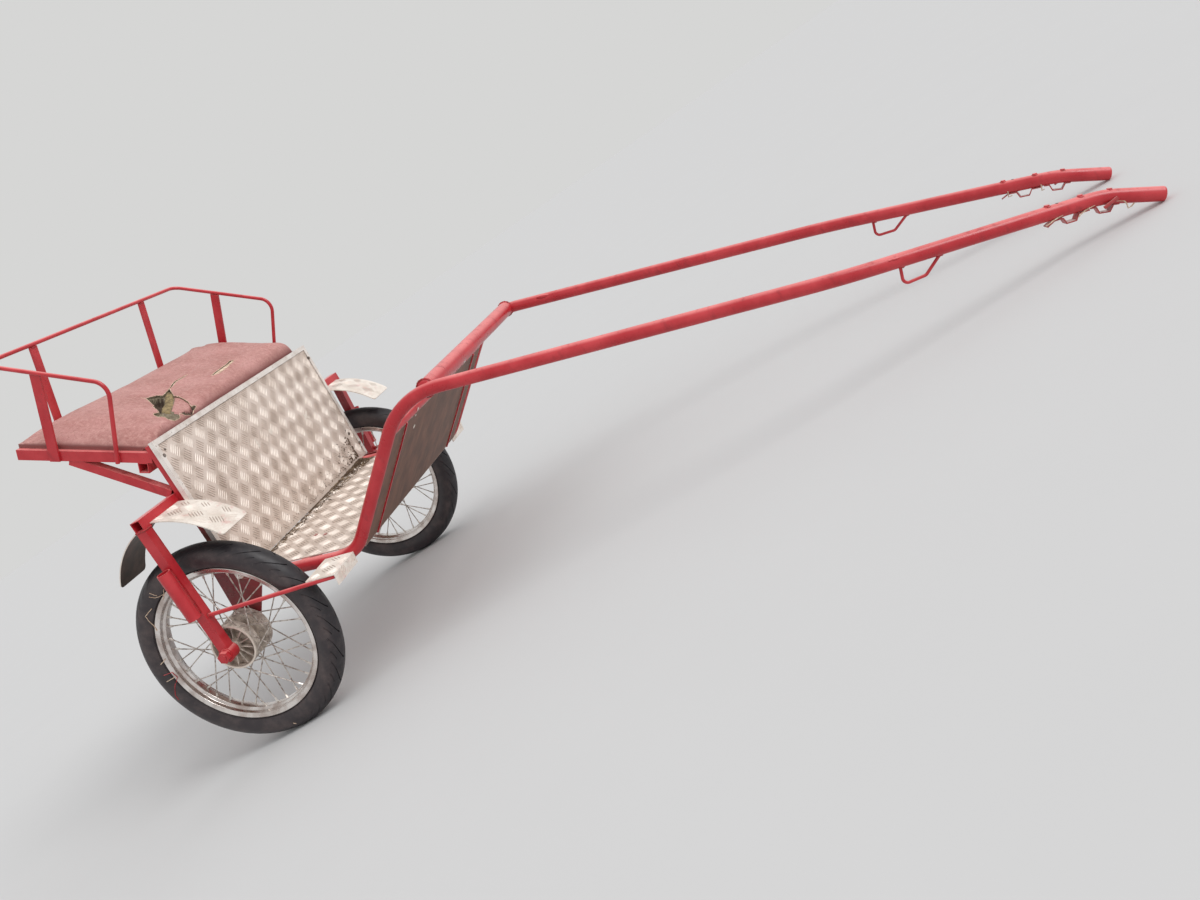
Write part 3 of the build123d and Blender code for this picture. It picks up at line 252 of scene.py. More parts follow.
class Finish:
    """A material being built: its node tree, with short ways to say noise, steps and mixes."""

    def __init__(self, name):
        self.material = bpy.data.materials.new(name)
        self.material.use_nodes = True
        self.tree = self.material.node_tree
        self.tree.nodes.clear()
        self.place = add_node(self.tree, "ShaderNodeTexCoord").outputs["Object"]

    def add(self, kind, inputs=None, **settings):
        return add_node(self.tree, kind, inputs, **settings)

    def noise(self, size_mm, detail=3.0, rough=0.55, stretch=None, distortion=0.0):
        """A noise whose patches are about size_mm across; stretch is a scale for each axis."""
        place = self.place
        if stretch:
            place = self.add("ShaderNodeMapping", {"Vector": place, "Scale": stretch}).outputs[0]
        values = {"Vector": place, "Scale": 1.0 / (size_mm * MM), "Detail": detail,
                  "Roughness": rough, "Distortion": distortion}
        return self.add("ShaderNodeTexNoise", values).outputs["Fac"]

    def step(self, value, low, high, to_low=0.0, to_high=1.0):
        values = {"Value": value, "From Min": low, "From Max": high, "To Min": to_low, "To Max": to_high}
        return self.add("ShaderNodeMapRange", values, interpolation_type="SMOOTHSTEP").outputs[0]

    def sum(self, kind, first, second):
        node = self.add("ShaderNodeMath", {0: first, 1: second}, operation=kind, use_clamp=False)
        return node.outputs[0]

    def vector(self, operation, first, *second):
        """A vector sum; a dot product or a length comes out as a number."""
        node = self.add("ShaderNodeVectorMath", dict(enumerate((first, *second))), operation=operation)
        return node.outputs["Value" if operation in ("DOT_PRODUCT", "LENGTH") else "Vector"]

    def wheel_reach(self):
        """How far out from the axle a point lies."""
        flat = self.vector("MULTIPLY", self.vector("SUBTRACT", self.place, AXLE), (1.0, 0.0, 1.0))
        return self.vector("LENGTH", flat)

    def stain(self, colour, tone, size_mm, detail, rough, low, high, most=1.0):
        """A colour with patches of another tone about size_mm across."""
        return self.mix(self.step(self.noise(size_mm, detail, rough), low, high, 0.0, most), colour, tone)

    def mix(self, share, first, second):
        first = linear(first) if isinstance(first, str) else first
        second = linear(second) if isinstance(second, str) else second
        node = self.add("ShaderNodeMix", {0: share, 6: first, 7: second}, data_type="RGBA")
        return node.outputs[2]

    def upward(self, low=-0.1, high=0.9):
        """How far the surface faces the level cart's sky, from 0 to 1."""
        normal = self.add("ShaderNodeNewGeometry").outputs["Normal"]
        return self.step(self.vector("DOT_PRODUCT", normal, level_direction(0.0, 0.0, 1.0)), low, high)

    def edges(self, radius_mm, low=0.02, high=0.2):
        """Where the surface turns a corner within radius_mm."""
        normal = self.add("ShaderNodeNewGeometry").outputs["Normal"]
        soft = self.add("ShaderNodeBevel", {"Radius": radius_mm * MM}, samples=4).outputs[0]
        return self.step(self.sum("SUBTRACT", 1.0, self.vector("DOT_PRODUCT", normal, soft)), low, high)

    def bump(self, height, depth_mm, strength=1.0, normal=None):
        values = {"Height": height, "Distance": depth_mm * MM, "Strength": strength}
        if normal is not None:
            values["Normal"] = normal
        return self.add("ShaderNodeBump", values).outputs[0]

    def close(self, **sockets):
        shader = self.add("ShaderNodeBsdfPrincipled",
                          {name.replace("_", " "): value for name, value in sockets.items()})
        self.add("ShaderNodeOutputMaterial", {"Surface": shader.outputs[0]})
        return self.material


def red_enamel(name="red_enamel", tint="#B2222B", worn="#C4373D", soil=0.0, sky="#EE8E8B", brown_below=0.0):
    """Red gloss enamel brushed over old coats on steel tube: faint brush lines, upward faces turned pink, partly
    where the sun has faded it and partly as a painted sky highlight, small chips down to brown steel, and soil
    where the road throws it up."""
    f = Finish(name)
    patches = f.noise(90.0, 4.0)
    fine = f.noise(9.0, 3.0)
    coat = f.mix(f.step(patches, 0.35, 0.7), tint, worn)
    # Painted highlight: faces turned to the sky are mixed toward a pale pink, partly sun fade and partly the sky's
    # sheen painted in
    coat = f.mix(f.sum("MULTIPLY", f.upward(0.55, 1.0), f.step(patches, 0.2, 0.75, 0.45, 0.85)), coat, sky)
    coat = f.mix(f.step(fine, 0.62, 0.75, 0.0, 0.5), coat, "#A01C24")
    runs = f.step(f.noise(26.0, 4.0, 0.6, (1.0, 1.0, 0.35)), 0.55, 0.72, 0.0, 0.45)
    coat = f.mix(runs, coat, "#8E2028")
    if soil:
        mud = f.step(f.noise(30.0, 5.0, 0.7), 0.42, 0.68, 0.0, soil)
        # With a height given, the brown-grey tone covers the coat below that height over the axle and nowhere above
        # it
        if brown_below:
            above = f.vector("SUBTRACT", f.place, AXLE)
            rise = f.vector("DOT_PRODUCT", above, level_direction(0.0, 0.0, 1.0))
            low = f.step(rise, (brown_below - 50.0) * MM, brown_below * MM, 1.0, 0.0)
            mud = f.sum("MULTIPLY", f.sum("MAXIMUM", mud, 0.8), low)
        coat = f.mix(mud, coat, "#6B5347")
    specks = f.step(f.noise(5.0, 4.0, 0.7), 0.67, 0.70)
    zones = f.step(f.noise(120.0, 3.0, 0.6), 0.48, 0.6)
    chips = f.sum("MULTIPLY", specks, zones)
    wear = f.sum("MULTIPLY", f.edges(1.6), f.step(f.noise(14.0, 4.0, 0.7), 0.5, 0.58))
    bare = f.sum("MAXIMUM", chips, wear)
    colour = f.mix(bare, coat, "#5A3226")
    brush = f.noise(2.5, 2.0, 0.5)
    normal = f.bump(f.sum("ADD", f.noise(14.0, 2.0), f.sum("MULTIPLY", brush, 0.15)), 0.9, 0.35)
    normal = f.bump(f.sum("SUBTRACT", 1.0, bare), 0.25, 0.6, normal)
    return f.close(Base_Color=colour, Roughness=f.sum("ADD", f.step(patches, 0.3, 0.7, 0.26, 0.42),
                   f.sum("MULTIPLY", bare, 0.35)), Normal=normal, IOR=1.5)


def tread_aluminium(name, base, worn, dirt, dirt_share):
    """Rolled aluminium tread plate gone dull outdoors: grey-beige film, brown dirt in the hollows,
    and fine scuffs from boots."""
    f = Finish(name)
    film = f.noise(70.0, 5.0, 0.6)
    grain = f.noise(6.0, 4.0, 0.7)
    colour = f.mix(f.step(film, 0.3, 0.7), base, worn)
    grime = f.sum("MULTIPLY", f.step(f.sum("ADD", film, f.sum("MULTIPLY", grain, 0.5)), 0.66, 0.98),
                  dirt_share)
    colour = f.mix(grime, colour, dirt)
    specks = f.step(f.noise(3.4, 4.0, 0.75), 0.66, 0.71, 0.0, 0.6)
    colour = f.mix(specks, colour, "#5E4C40")
    scratches = f.step(f.noise(3.0, 2.0, 0.5, (1.0, 0.12, 1.0)), 0.64, 0.7, 0.0, 0.35)
    colour = f.mix(scratches, colour, "#E8E2DA")
    return f.close(Base_Color=colour, Metallic=0.3, Normal=f.bump(grain, 0.3, 0.4),
                   Roughness=f.step(film, 0.3, 0.7, 0.4, 0.55))


def edging_aluminium():
    """Drawn aluminium angle, brighter than the plate, scuffed and with specks of mud lower down."""
    f = Finish("edging_aluminium")
    film = f.noise(40.0, 4.0)
    colour = f.mix(f.step(film, 0.35, 0.7), "#F4EEE8", "#DCD2C9")
    colour = f.stain(colour, "#8A7666", 9.0, 4.0, 0.7, 0.6, 0.68, 0.85)
    colour = f.stain(colour, "#5C4A3C", 4.0, 3.0, 0.7, 0.68, 0.72, 0.9)
    return f.close(Base_Color=colour, Metallic=0.4, Roughness=0.36, Normal=f.bump(f.noise(2.0, 3.0), 0.1, 0.5))


def guard_aluminium():
    """Guards and steps of the same plate, whitened with dried dust and paler still as a painted sky reflection,
    with red paint rubbed over them, and a dark tone on the side that faces the wheel: painted shade over old road
    dirt."""
    f = Finish("guard_aluminium")
    film = f.noise(45.0, 5.0, 0.6)
    # The near-white base is partly dried dust and partly the sky's reflection painted in
    colour = f.mix(f.step(film, 0.3, 0.7), "#F1E9DF", "#D6CABD")
    colour = f.stain(colour, "#D29A94", 34.0, 5.0, 0.7, 0.54, 0.72, 0.6)
    colour = f.stain(colour, "#9C8878", 8.0, 4.0, 0.7, 0.6, 0.75, 0.7)
    # Painted shade: faces turned toward the wheel are darkened, over old road dirt
    normal = f.add("ShaderNodeNewGeometry").outputs["Normal"]
    inward = f.vector("MULTIPLY", f.vector("SUBTRACT", AXLE, f.place), (1.0, 0.0, 1.0))
    wheel_side_shade = f.vector("DOT_PRODUCT", normal, f.vector("NORMALIZE", inward))
    colour = f.mix(f.step(wheel_side_shade, 0.2, 0.6), colour, f.mix(f.step(film, 0.3, 0.7), "#4E4A44", "#6A5B53"))
    return f.close(Base_Color=colour, Metallic=0.15, Roughness=0.5, Normal=f.bump(f.noise(5.0, 3.0), 0.3, 0.5))


def dash_brown():
    """The dash's outer board: old flat paint gone brown and darkened as painted shade, streaked down, paler where
    it flakes.
    """
    f = Finish("dash_brown")
    film = f.noise(80.0, 4.0)
    # Painted shade: these browns are set dark because the board faces down and forward
    colour = f.mix(f.step(film, 0.3, 0.7), "#5C3F31", "#785240")
    streaks = f.step(f.noise(22.0, 4.0, 0.6, (0.3, 1.0, 0.3)), 0.5, 0.75, 0.0, 0.5)
    colour = f.mix(streaks, colour, "#8E6852")
    colour = f.stain(colour, "#43302A", 6.0, 4.0, 0.8, 0.62, 0.7, 0.6)
    flakes = f.sum("MULTIPLY", f.edges(5.0, 0.01, 0.1), f.step(f.noise(10.0, 4.0, 0.7), 0.45, 0.5))
    colour = f.mix(flakes, colour, "#D5CBC2")
    return f.close(Base_Color=colour, Roughness=0.6, Normal=f.bump(f.noise(6.0, 4.0), 0.3, 0.4))


def rim_chrome():
    """Chromed steel rim, dull with road film, freckled brown where the plating has pitted."""
    f = Finish("rim_chrome")
    film = f.noise(50.0, 4.0)
    colour = f.mix(f.step(film, 0.35, 0.7), "#E6E0DC", "#B9ABA4")
    colour = f.stain(colour, "#7C5848", 4.0, 5.0, 0.75, 0.63, 0.72, 0.75)
    return f.close(Base_Color=colour, Metallic=1.0, Normal=f.bump(f.noise(8.0, 3.0), 0.1, 0.4),
                   Roughness=f.step(film, 0.3, 0.7, 0.14, 0.3))


def spoke_steel():
    """Zinc-plated spokes gone dull and brownish, with brighter nipples near the rim."""
    f = Finish("spoke_steel")
    nipple = f.step(f.wheel_reach(), 0.2005, 0.2025)
    wire = f.mix(f.step(f.noise(12.0, 4.0), 0.4, 0.65), "#D6CEC6", "#94857C")
    return f.close(Base_Color=f.mix(nipple, wire, "#E4DFD8"), Metallic=0.8, Roughness=0.35)


HUB_FACE = 0.608


def cast_alloy(name, light, dark, soot):
    """Sand-cast aluminium hub: light, matt, with brown grime settled between the ribs. Its rib edges and outer
    faces are lightened, partly as wear from hands and rags and partly as a painted highlight, which leaves the
    hollows as painted shade."""
    f = Finish(name)
    film = f.noise(22.0, 5.0, 0.6)
    colour = f.mix(f.step(film, 0.3, 0.7), light, dark)
    colour = f.mix(f.step(f.noise(6.0, 4.0, 0.7), 0.52, 0.68, 0.0, 0.75), colour, soot)
    # Painted highlight and wear: rib edges and the outer faces are lifted to the light tone, so the hollows read as
    # painted shade
    worn = f.sum("MULTIPLY", f.edges(1.2, 0.04, 0.25), 0.8)
    across = f.add("ShaderNodeSeparateXYZ", {0: f.place}).outputs["Y"]
    outer = f.step(f.sum("ABSOLUTE", across, 0.0), HUB_FACE - 0.006, HUB_FACE - 0.001, 0.0, 0.8)
    colour = f.mix(f.sum("MAXIMUM", worn, outer), colour, light)
    return f.close(Base_Color=colour, Metallic=0.3, Roughness=0.52, Normal=f.bump(f.noise(2.0, 3.0), 0.3, 0.5))


def dull_steel(name="dull_steel", bright="#9A938C", rust="#5F3F2E"):
    """Plain zinc-plated bolts, screws and wire, dulled and rusting at their corners."""
    f = Finish(name)
    colour = f.mix(f.step(f.noise(7.0, 4.0, 0.7), 0.45, 0.65), bright, rust)
    return f.close(Base_Color=colour, Metallic=0.7, Roughness=0.42)


def weld_metal():
    """Weld beads brushed over with the red enamel, which is thin on their tops and rusts there."""
    f = Finish("weld_metal")
    colour = f.mix(f.step(f.noise(5.0, 4.0, 0.7), 0.5, 0.62), "#AE2B30", "#64342A")
    return f.close(Base_Color=colour, Roughness=0.5, Normal=f.bump(f.noise(2.0, 3.0), 0.5, 0.6))


def tyre_rubber():
    """Black tyre rubber: grey-brown dust dried on the walls, darker where the tread meets the road."""
    f = Finish("tyre_rubber")
    tread = f.step(f.wheel_reach(), 0.283, 0.297)
    dust = f.noise(60.0, 5.0, 0.65)
    wall = f.mix(f.step(dust, 0.38, 0.75, 0.0, 0.8), "#2E272A", "#5A4E4C")
    wall = f.stain(wall, "#9A8A80", 5.0, 5.0, 0.8, 0.64, 0.7, 0.5)
    road = f.mix(f.step(f.noise(18.0, 5.0, 0.7), 0.45, 0.8, 0.0, 0.6), "#242024", "#4A4140")
    return f.close(Base_Color=f.mix(tread, wall, road), Roughness=f.step(dust, 0.3, 0.7, 0.4, 0.6),
                   Normal=f.bump(f.noise(3.0, 3.0), 0.25, 0.4), IOR=1.52)


def seat_vinyl(name="seat_vinyl", bare_wood=False):
    """Embossed vinyl seat cover, once maroon and now faded to a chalky pink, cracked and soiled, with painted shade
    on faces turned from the sky.
    Where it is stapled round the board, the board's own underside stays bare."""
    f = Finish(name)
    fade = f.noise(130.0, 5.0, 0.6)
    mottle = f.noise(13.0, 5.0, 0.7)
    colour = f.mix(f.step(fade, 0.3, 0.7), "#AC756D", "#C6908A")
    colour = f.mix(f.step(mottle, 0.42, 0.66, 0.0, 0.6), colour, "#D2A298")
    colour = f.stain(colour, "#94584F", 7.0, 4.0, 0.75, 0.52, 0.66, 0.6)
    # Painted shade: faces that turn away from the sky, such as the front roll and the ends, are darkened
    colour = f.mix(f.upward(0.1, 0.97), "#84504C", colour)
    grain = f.add("ShaderNodeTexVoronoi", {"Vector": f.place, "Scale": 1.0 / (2.2 * MM)},
                  feature="DISTANCE_TO_EDGE").outputs["Distance"]
    cracks = f.step(grain, 0.0, 0.14, 1.0, 0.0)
    colour = f.mix(f.sum("MULTIPLY", cracks, 0.35), colour, "#95605A")
    colour = f.stain(colour, "#6E4441", 4.0, 4.0, 0.8, 0.66, 0.72, 0.6)
    if bare_wood:
        wood = f.mix(f.noise(12.0, 4.0, 0.6, (1.0, 0.1, 1.0)), "#6E553C", "#97795A")
        colour = f.mix(f.upward(-0.95, -0.7), wood, colour)
    normal = f.bump(f.sum("SUBTRACT", mottle, f.sum("MULTIPLY", cracks, 0.4)), 0.7, 0.5)
    return f.close(Base_Color=colour, Roughness=0.55, Normal=normal, IOR=1.5)


def foam(name, dark, light, grain_mm=4.0):
    """Old open-cell polyurethane foam, browned by light and crumbling, with dirt in its cells."""
    f = Finish(name)
    colour = f.mix(f.step(f.noise(14.0, 5.0, 0.7), 0.35, 0.65), dark, light)
    colour = f.stain(colour, "#3E342A", 3.0, 4.0, 0.8, 0.56, 0.66, 0.7)
    return f.close(Base_Color=colour, Roughness=0.95, Normal=f.bump(f.noise(grain_mm, 5.0, 0.8), 1.6, 0.8))


def woven_backing():
    """The cotton knit behind the vinyl, cream and frayed."""
    f = Finish("woven_backing")
    colour = f.mix(f.step(f.noise(9.0, 4.0, 0.7), 0.35, 0.7), "#B99C84", "#EAD6BE")
    return f.close(Base_Color=colour, Roughness=0.9, Normal=f.bump(f.noise(1.5, 3.0), 0.4, 0.6))


def straw(name, dark, light):
    """Chopped straw, or dried mud, caught at the foot of the panel."""
    f = Finish(name)
    colour = f.mix(f.noise(25.0, 3.0), dark, light)
    return f.close(Base_Color=colour, Roughness=0.88, Normal=f.bump(f.noise(2.0, 4.0), 0.4, 0.6))


RED = red_enamel()
SOILED_RED = red_enamel("soiled_red_enamel", "#8E3038", "#A8484C", 0.75, "#C98C84")
# The posts turn brown-grey below 330 mm over the axle
POST_RED = red_enamel("post_enamel", soil=0.7, brown_below=330.0)
# The tip fittings' upward faces turn almost white: a painted sky highlight
STRAP_RED = red_enamel("strap_enamel", "#A63A3C", "#B9504E", 0.0, "#FBEDE4")
# A darker copy of the red for the wheel plates inside the wheels: painted shade, with a little grime
SHADED_GRIMY_PLATE_RED = red_enamel("maroon_enamel", "#7E2A30", "#94383C", 0.35, "#B8706C")
TREAD = tread_aluminium("tread_aluminium", "#E4D6CB", "#D8C9BD", "#9C8676", 0.4)
# The two bar families get a lighter and a darker copy of the same plate: painted light and shade, as bars leaning
# one way catch the light and the others do not
PAINTED_LIT_BARS = tread_aluminium("light_bar_aluminium", "#F0E6DC", "#E8DCD1", "#BCAA9C", 0.3)
PAINTED_SHADED_BARS = tread_aluminium("dark_bar_aluminium", "#C6B7AB", "#B7A89C", "#8C796B", 0.4)
EDGING = edging_aluminium()
GUARD = guard_aluminium()
BROWN = dash_brown()
CHROME = rim_chrome()
SPOKE = spoke_steel()
ALLOY = cast_alloy("cast_alloy", "#E2D6C9", "#A39488", "#63554A")
DARK_ALLOY = cast_alloy("brake_plate_alloy", "#A3968A", "#6E6158", "#483C34")
STEEL = dull_steel()
# A dark copy for the dirt line along the edging, and for the discs that stand in for open holes as painted shade
DIRT_AND_HOLE_SHADE = dull_steel("dark_steel", "#5A5450", "#3E2C24")
WELD = weld_metal()
RUBBER = tyre_rubber()
VINYL = seat_vinyl()
BOARD_VINYL = seat_vinyl("stapled_vinyl", True)
OLD_FOAM = foam("old_foam", "#6C6150", "#968A74")
YELLOW_FOAM = foam("yellow_foam", "#6E5F42", "#A08C64")
# A darker foam for the cavity and the hook in the tear: painted shade down in the pits
PIT_SHADE_FOAM = foam("foam_pit", "#42352B", "#5F4F42")
BACKING = woven_backing()
STRAW = straw("straw", "#84715A", "#B9A58A")
OLD_STRAW = straw("old_straw", "#4A392B", "#705C49")
MUD = straw("dried_mud", "#463426", "#69543F")
PALE_FLAKE = straw("pale_primer", "#CFC4B8", "#E9E2D8")

NODE_FINISHES = {
    "main_tube": RED, "cross_tube": RED, "floor_sheet": TREAD, "floor_bearers": RED, "dash_bars": RED,
    "dash_board": BROWN, "dash_cap": RED, "seat_front_panel": TREAD, "panel_edging": EDGING,
    "panel_post": POST_RED, "crossbar": RED, "fork_leg": RED, "wheel_plate": SHADED_GRIMY_PLATE_RED, "spindle": RED,
    "brake_plate": DARK_ALLOY, "socket_tube": RED, "step_stay": RED, "step": GUARD, "wheel_guard": GUARD,
    "seat_frame": RED, "seat_front_tube": RED, "seat_strut": RED, "seat_board": BOARD_VINYL,
    "seat_cushion": VINYL, "railing_rod": RED, "railing_posts": RED, "trace_loop": RED,
    "tip_fittings": STRAP_RED, "tyre": RUBBER, "rim": CHROME, "spokes": SPOKE, "hub": ALLOY,
}


def plain_name(node):
    for ending in ("_right", "_left"):
        if node.endswith(ending):
            return node[:-len(ending)]
    return node


for node, thing in nodes.items():
    finish = NODE_FINISHES[plain_name(node)]
    if thing.material_slots:
        for place in thing.material_slots:
            place.material = finish
    else:
        thing.data.materials.append(finish)

SIDES = (("right", -1), ("left", 1))


def make_piece(name, bm, finish, body, smooth_below=50.0):
    """Turns a finished bmesh into a piece that rides on a body; finish is one material or several."""
    bmesh.ops.recalc_face_normals(bm, faces=bm.faces)
    mesh = mesh_from(bm, name, finish if isinstance(finish, tuple) else (finish,))
    if smooth_below:
        mesh.shade_smooth()
        mesh.set_sharp_from_angle(angle=math.radians(smooth_below))
    piece = bpy.data.objects.new(name, mesh)
    link(piece)
    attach(piece, body)
    return piece


def resampled(path, step):
    """Points a step apart, in mm, along a path of parked points."""
    points = [path[0]]
    for start, end in zip(path, path[1:]):
        count = max(1, round((end - start).length / (step * MM)))
        points += [start.lerp(end, (index + 1) / count) for index in range(count)]
    return points


def rod_along(bm, path, radius, sides=8, swell=None):
    """A closed round rod along parked points; swell gives each ring's size as a share of the radius."""
    run = (path[1] - path[0]).normalized()
    turn = run.to_track_quat("Z", "Y")
    placed = Matrix.Translation(path[0]) @ turn.to_matrix().to_4x4()
    size = radius * MM * (swell(0) if swell else 1.0)
    ring = bmesh.ops.create_circle(bm, cap_ends=True, segments=sides, radius=size, matrix=placed)["verts"]
    edges = list({edge for vert in ring for edge in vert.link_edges})
    for index in range(1, len(path)):
        ahead = path[min(index + 1, len(path) - 1)] - path[index - 1]
        next_run = ahead.normalized()
        turn = run.rotation_difference(next_run) @ turn
        run = next_run
        next_placed = Matrix.Translation(path[index]) @ turn.to_matrix().to_4x4()
        next_size = radius * MM * (swell(index) if swell else 1.0)
        grown = bmesh.ops.extrude_edge_only(bm, edges=edges)["geom"]
        verts = verts_of(grown)
        scale = Matrix.Scale(next_size / size, 4)
        bmesh.ops.transform(bm, matrix=next_placed @ scale @ placed.inverted(), verts=verts)
        ring = verts
        edges = [e for e in grown if isinstance(e, bmesh.types.BMEdge) and e.verts[0] in ring
                 and e.verts[1] in ring]
        placed, size = next_placed, next_size
    bmesh.ops.holes_fill(bm, edges=edges)


OUTLINE_STEP = 4.0
weld_random = random.Random(11)


def weld_bead(bm, path, radius=2.6):
    """A bead of weld: a half-sunk rod whose surface swells in ripples."""
    jitter = [weld_random.uniform(-0.12, 0.16) for _ in range(7)]
    rod_along(bm, resampled(path, 2.6), radius, 6,
              lambda index: 1.0 + 0.17 * math.sin(index * 2.3) + jitter[index % 7])


def ring_path(centre, normal, start, radius, from_turn=0.0, to_turn=360.0, steps=24):
    """Points round a circle in mm about a parked centre, square to a parked direction."""
    normal = normal.normalized()
    out = (start - normal * start.dot(normal)).normalized()
    side = normal.cross(out)
    points = []
    for index in range(steps + 1):
        turn = math.radians(from_turn + (to_turn - from_turn) * index / steps)
        points.append(centre + (out * math.cos(turn) + side * math.sin(turn)) * radius * MM)
    return points


def frame_at(point, normal):
    """Where a small fitting sits: its own Z along the normal of the surface that it stands on."""
    return Matrix.Translation(point) @ normal.to_track_quat("Z", "Y").to_matrix().to_4x4()


def disc(bm, point, normal, base, top, depth, sides):
    """A low cone on a surface, with its radii and depth in mm."""
    bmesh.ops.create_cone(bm, cap_ends=True, segments=sides, radius1=base * MM, radius2=top * MM,
                          depth=depth * MM, matrix=frame_at(point, normal))


def bolt_head(bm, point, normal, radius, height, sides=6):
    """A bolt head on its washer, both with worn edges, sunk a little into what carries them."""
    for scale, sink, tall, count in ((1.45, -0.5, 1.5, 20), (1.0, 0.5, height, sides)):
        disc(bm, point + normal * (sink + tall / 2) * MM, normal, radius * scale, radius * scale * 0.9, tall, count)


def stepped_outline(spots):
    """Points about OUTLINE_STEP mm apart round a closed outline."""
    points = []
    for (ax, ay), (bx, by) in around(spots):
        count = max(1, round(math.hypot(bx - ax, by - ay) / OUTLINE_STEP))
        points += [(ax + (bx - ax) * (i / count), ay + (by - ay) * (i / count)) for i in range(count)]
    return points


def flake(bm, spots, place, low, high, seed, ragged=1.5):
    """A ragged patch inside an outline, from a low to a high height; place turns (across, along, height)
    in mm into a parked point."""
    chance = random.Random(seed)
    outline = [(x + chance.uniform(-ragged, ragged), y + chance.uniform(-ragged, ragged))
               for x, y in stepped_outline(spots)]
    ring = bmesh.ops.create_circle(bm, cap_ends=True, segments=len(outline), radius=1.0)["verts"]
    face = ring[0].link_faces[0]
    for vert, (across, along_run) in zip(face.verts, outline):
        vert.co = (across, along_run, low)
    raised = verts_of(bmesh.ops.extrude_face_region(bm, geom=[face])["geom"])
    bmesh.ops.translate(bm, vec=(0.0, 0.0, high - low), verts=raised)
    if not any(set(other.verts) <= set(ring) for other in ring[0].link_faces):
        bmesh.ops.holes_fill(bm, edges=[edge for edge in bm.edges if edge.is_boundary])
    for vert in set(ring) | set(raised):
        vert.co = place(*vert.co)


# Tyres: a round motorcycle section with curved grooves that lean from each shoulder to the crown
TYRE_HALF_SECTION = (
    (20.0, 230.0), (23.4, 231.0), (23.6, 238.8), (25.5, 242.0), (29.2, 244.2), (31.0, 243.6), (32.2, 245.2),
    (35.6, 252.0), (37.9, 260.0), (38.8, 268.0), (38.2, 275.5), (36.6, 281.0), (34.4, 285.6),
    (31.4, 290.0), (27.6, 294.2), (22.8, 298.2), (17.2, 301.6), (11.2, 304.0), (5.4, 305.4), (0.0, 305.8),
)
TYRE_STEPS = 312
GROOVE_EVERY = 13
GROOVE_DEPTH = 4.0
GROOVE_LEAN = 15.0
TREAD_HALF_WIDTH = 36.0
SHORT_GROOVE_INNER = 26.0
LONG_GROOVE_INNER = 7.0


def turned(section, steps):
    """A closed section of (across, radius) in mm, turned round the Y axis."""
    bm = bmesh.new()
    ring = [bm.verts.new((0.0, across * MM, radius * MM)) for across, radius in section]
    line = [bm.edges.new(pair) for pair in zip(ring, ring[1:])]
    line.append(bm.edges.new((ring[-1], ring[0])))
    bmesh.ops.spin(bm, geom=ring + line, axis=(0, 1, 0), cent=(0, 0, 0), steps=steps,
                   angle=2 * math.pi, use_merge=True)
    bmesh.ops.remove_doubles(bm, verts=bm.verts, dist=1e-6)
    return bm


def wheel_piece(name, bm, finish, smooth_below, side_name, side, node):
    place = Matrix.Translation(AXLE + Vector((0.0, side * HALF_TRACK * MM, 0.0)))
    bmesh.ops.transform(bm, matrix=place, verts=bm.verts)
    piece = make_piece(name + side_name, bm, finish, "wheel_" + side_name, smooth_below)
    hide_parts(node + side_name)


def tyre_piece(side_name, side):
    half = list(TYRE_HALF_SECTION)
    bm = turned(half + [(-across, radius) for across, radius in half[-2::-1]], TYRE_STEPS)
    bmesh.ops.recalc_face_normals(bm, faces=bm.faces)
    step_turn = 2 * math.pi / TYRE_STEPS
    grooves = []
    for face in bm.faces:
        centre = face.calc_center_median()
        across = centre.y / MM
        if math.hypot(centre.x, centre.z) < 0.27 or abs(across) > TREAD_HALF_WIDTH:
            continue
        turn = math.atan2(centre.x, centre.z) % (2 * math.pi)
        number = int(turn / step_turn)
        shift = 0 if across > 0 else GROOVE_EVERY // 2
        place = (number + shift) % GROOVE_EVERY
        if place == 0 and abs(across) > LONG_GROOVE_INNER:
            grooves.append(face)
        elif place == GROOVE_EVERY // 2 + 1 and abs(across) > SHORT_GROOVE_INNER:
            grooves.append(face)
    bmesh.ops.inset_region(bm, faces=grooves, thickness=0.6 * MM, depth=-GROOVE_DEPTH * MM,
                           use_even_offset=True, use_boundary=True)
    for vert in bm.verts:
        across = abs(vert.co.y) / MM
        inward = max(0.0, 1.0 - across / TREAD_HALF_WIDTH)
        if math.hypot(vert.co.x, vert.co.z) > 0.26:
            lean = math.radians(GROOVE_LEAN) * math.sin(inward * math.pi / 2)
            vert.co = Matrix.Rotation(lean, 3, "Y") @ vert.co
    wheel_piece("grooved_tyre_", bm, RUBBER, 40.0, side_name, side, "tyre_")


# Rims: rolled section with round lips, a ledge each side and a raised spoke bed
RIM_HALF_SECTION = (
    (0.0, 215.0), (8.0, 215.1), (10.5, 216.2), (13.2, 220.5), (15.6, 223.2), (18.6, 224.0), (24.4, 224.4),
    (26.8, 225.6), (27.8, 228.0), (28.0, 234.4), (29.3, 236.6), (29.2, 238.8), (27.4, 240.0),
    (25.2, 239.3), (24.2, 237.2), (24.0, 229.2), (14.0, 228.4), (9.0, 219.4), (0.0, 219.0),
)
RIM_STEPS = 144


def rim_piece(side_name, side):
    half = list(RIM_HALF_SECTION)
    bm = turned(half + [(-across, radius) for across, radius in half[-2:0:-1]], RIM_STEPS)
    wheel_piece("rolled_rim_", bm, CHROME, 60.0, side_name, side, "rim_")


for side_name, side in SIDES:
    tyre_piece(side_name, side)
    rim_piece(side_name, side)

# Tread plate: groups of five raised bars, every second group turned square to its neighbours
TREAD_PITCH_ACROSS = 68.0
TREAD_PITCH_ALONG = 60.0
TREAD_BAR_LENGTH = 33.0
TREAD_BAR_WIDTH = 4.4
TREAD_BAR_SPACING = 7.6
TREAD_BAR_HEIGHT = 1.1
TREAD_BAR_SINK = 0.3
TREAD_BAR_TOP = (0.84, 0.4, 1.0)
TREAD_LEAN = 45.0
BARS_IN_GROUP = 5


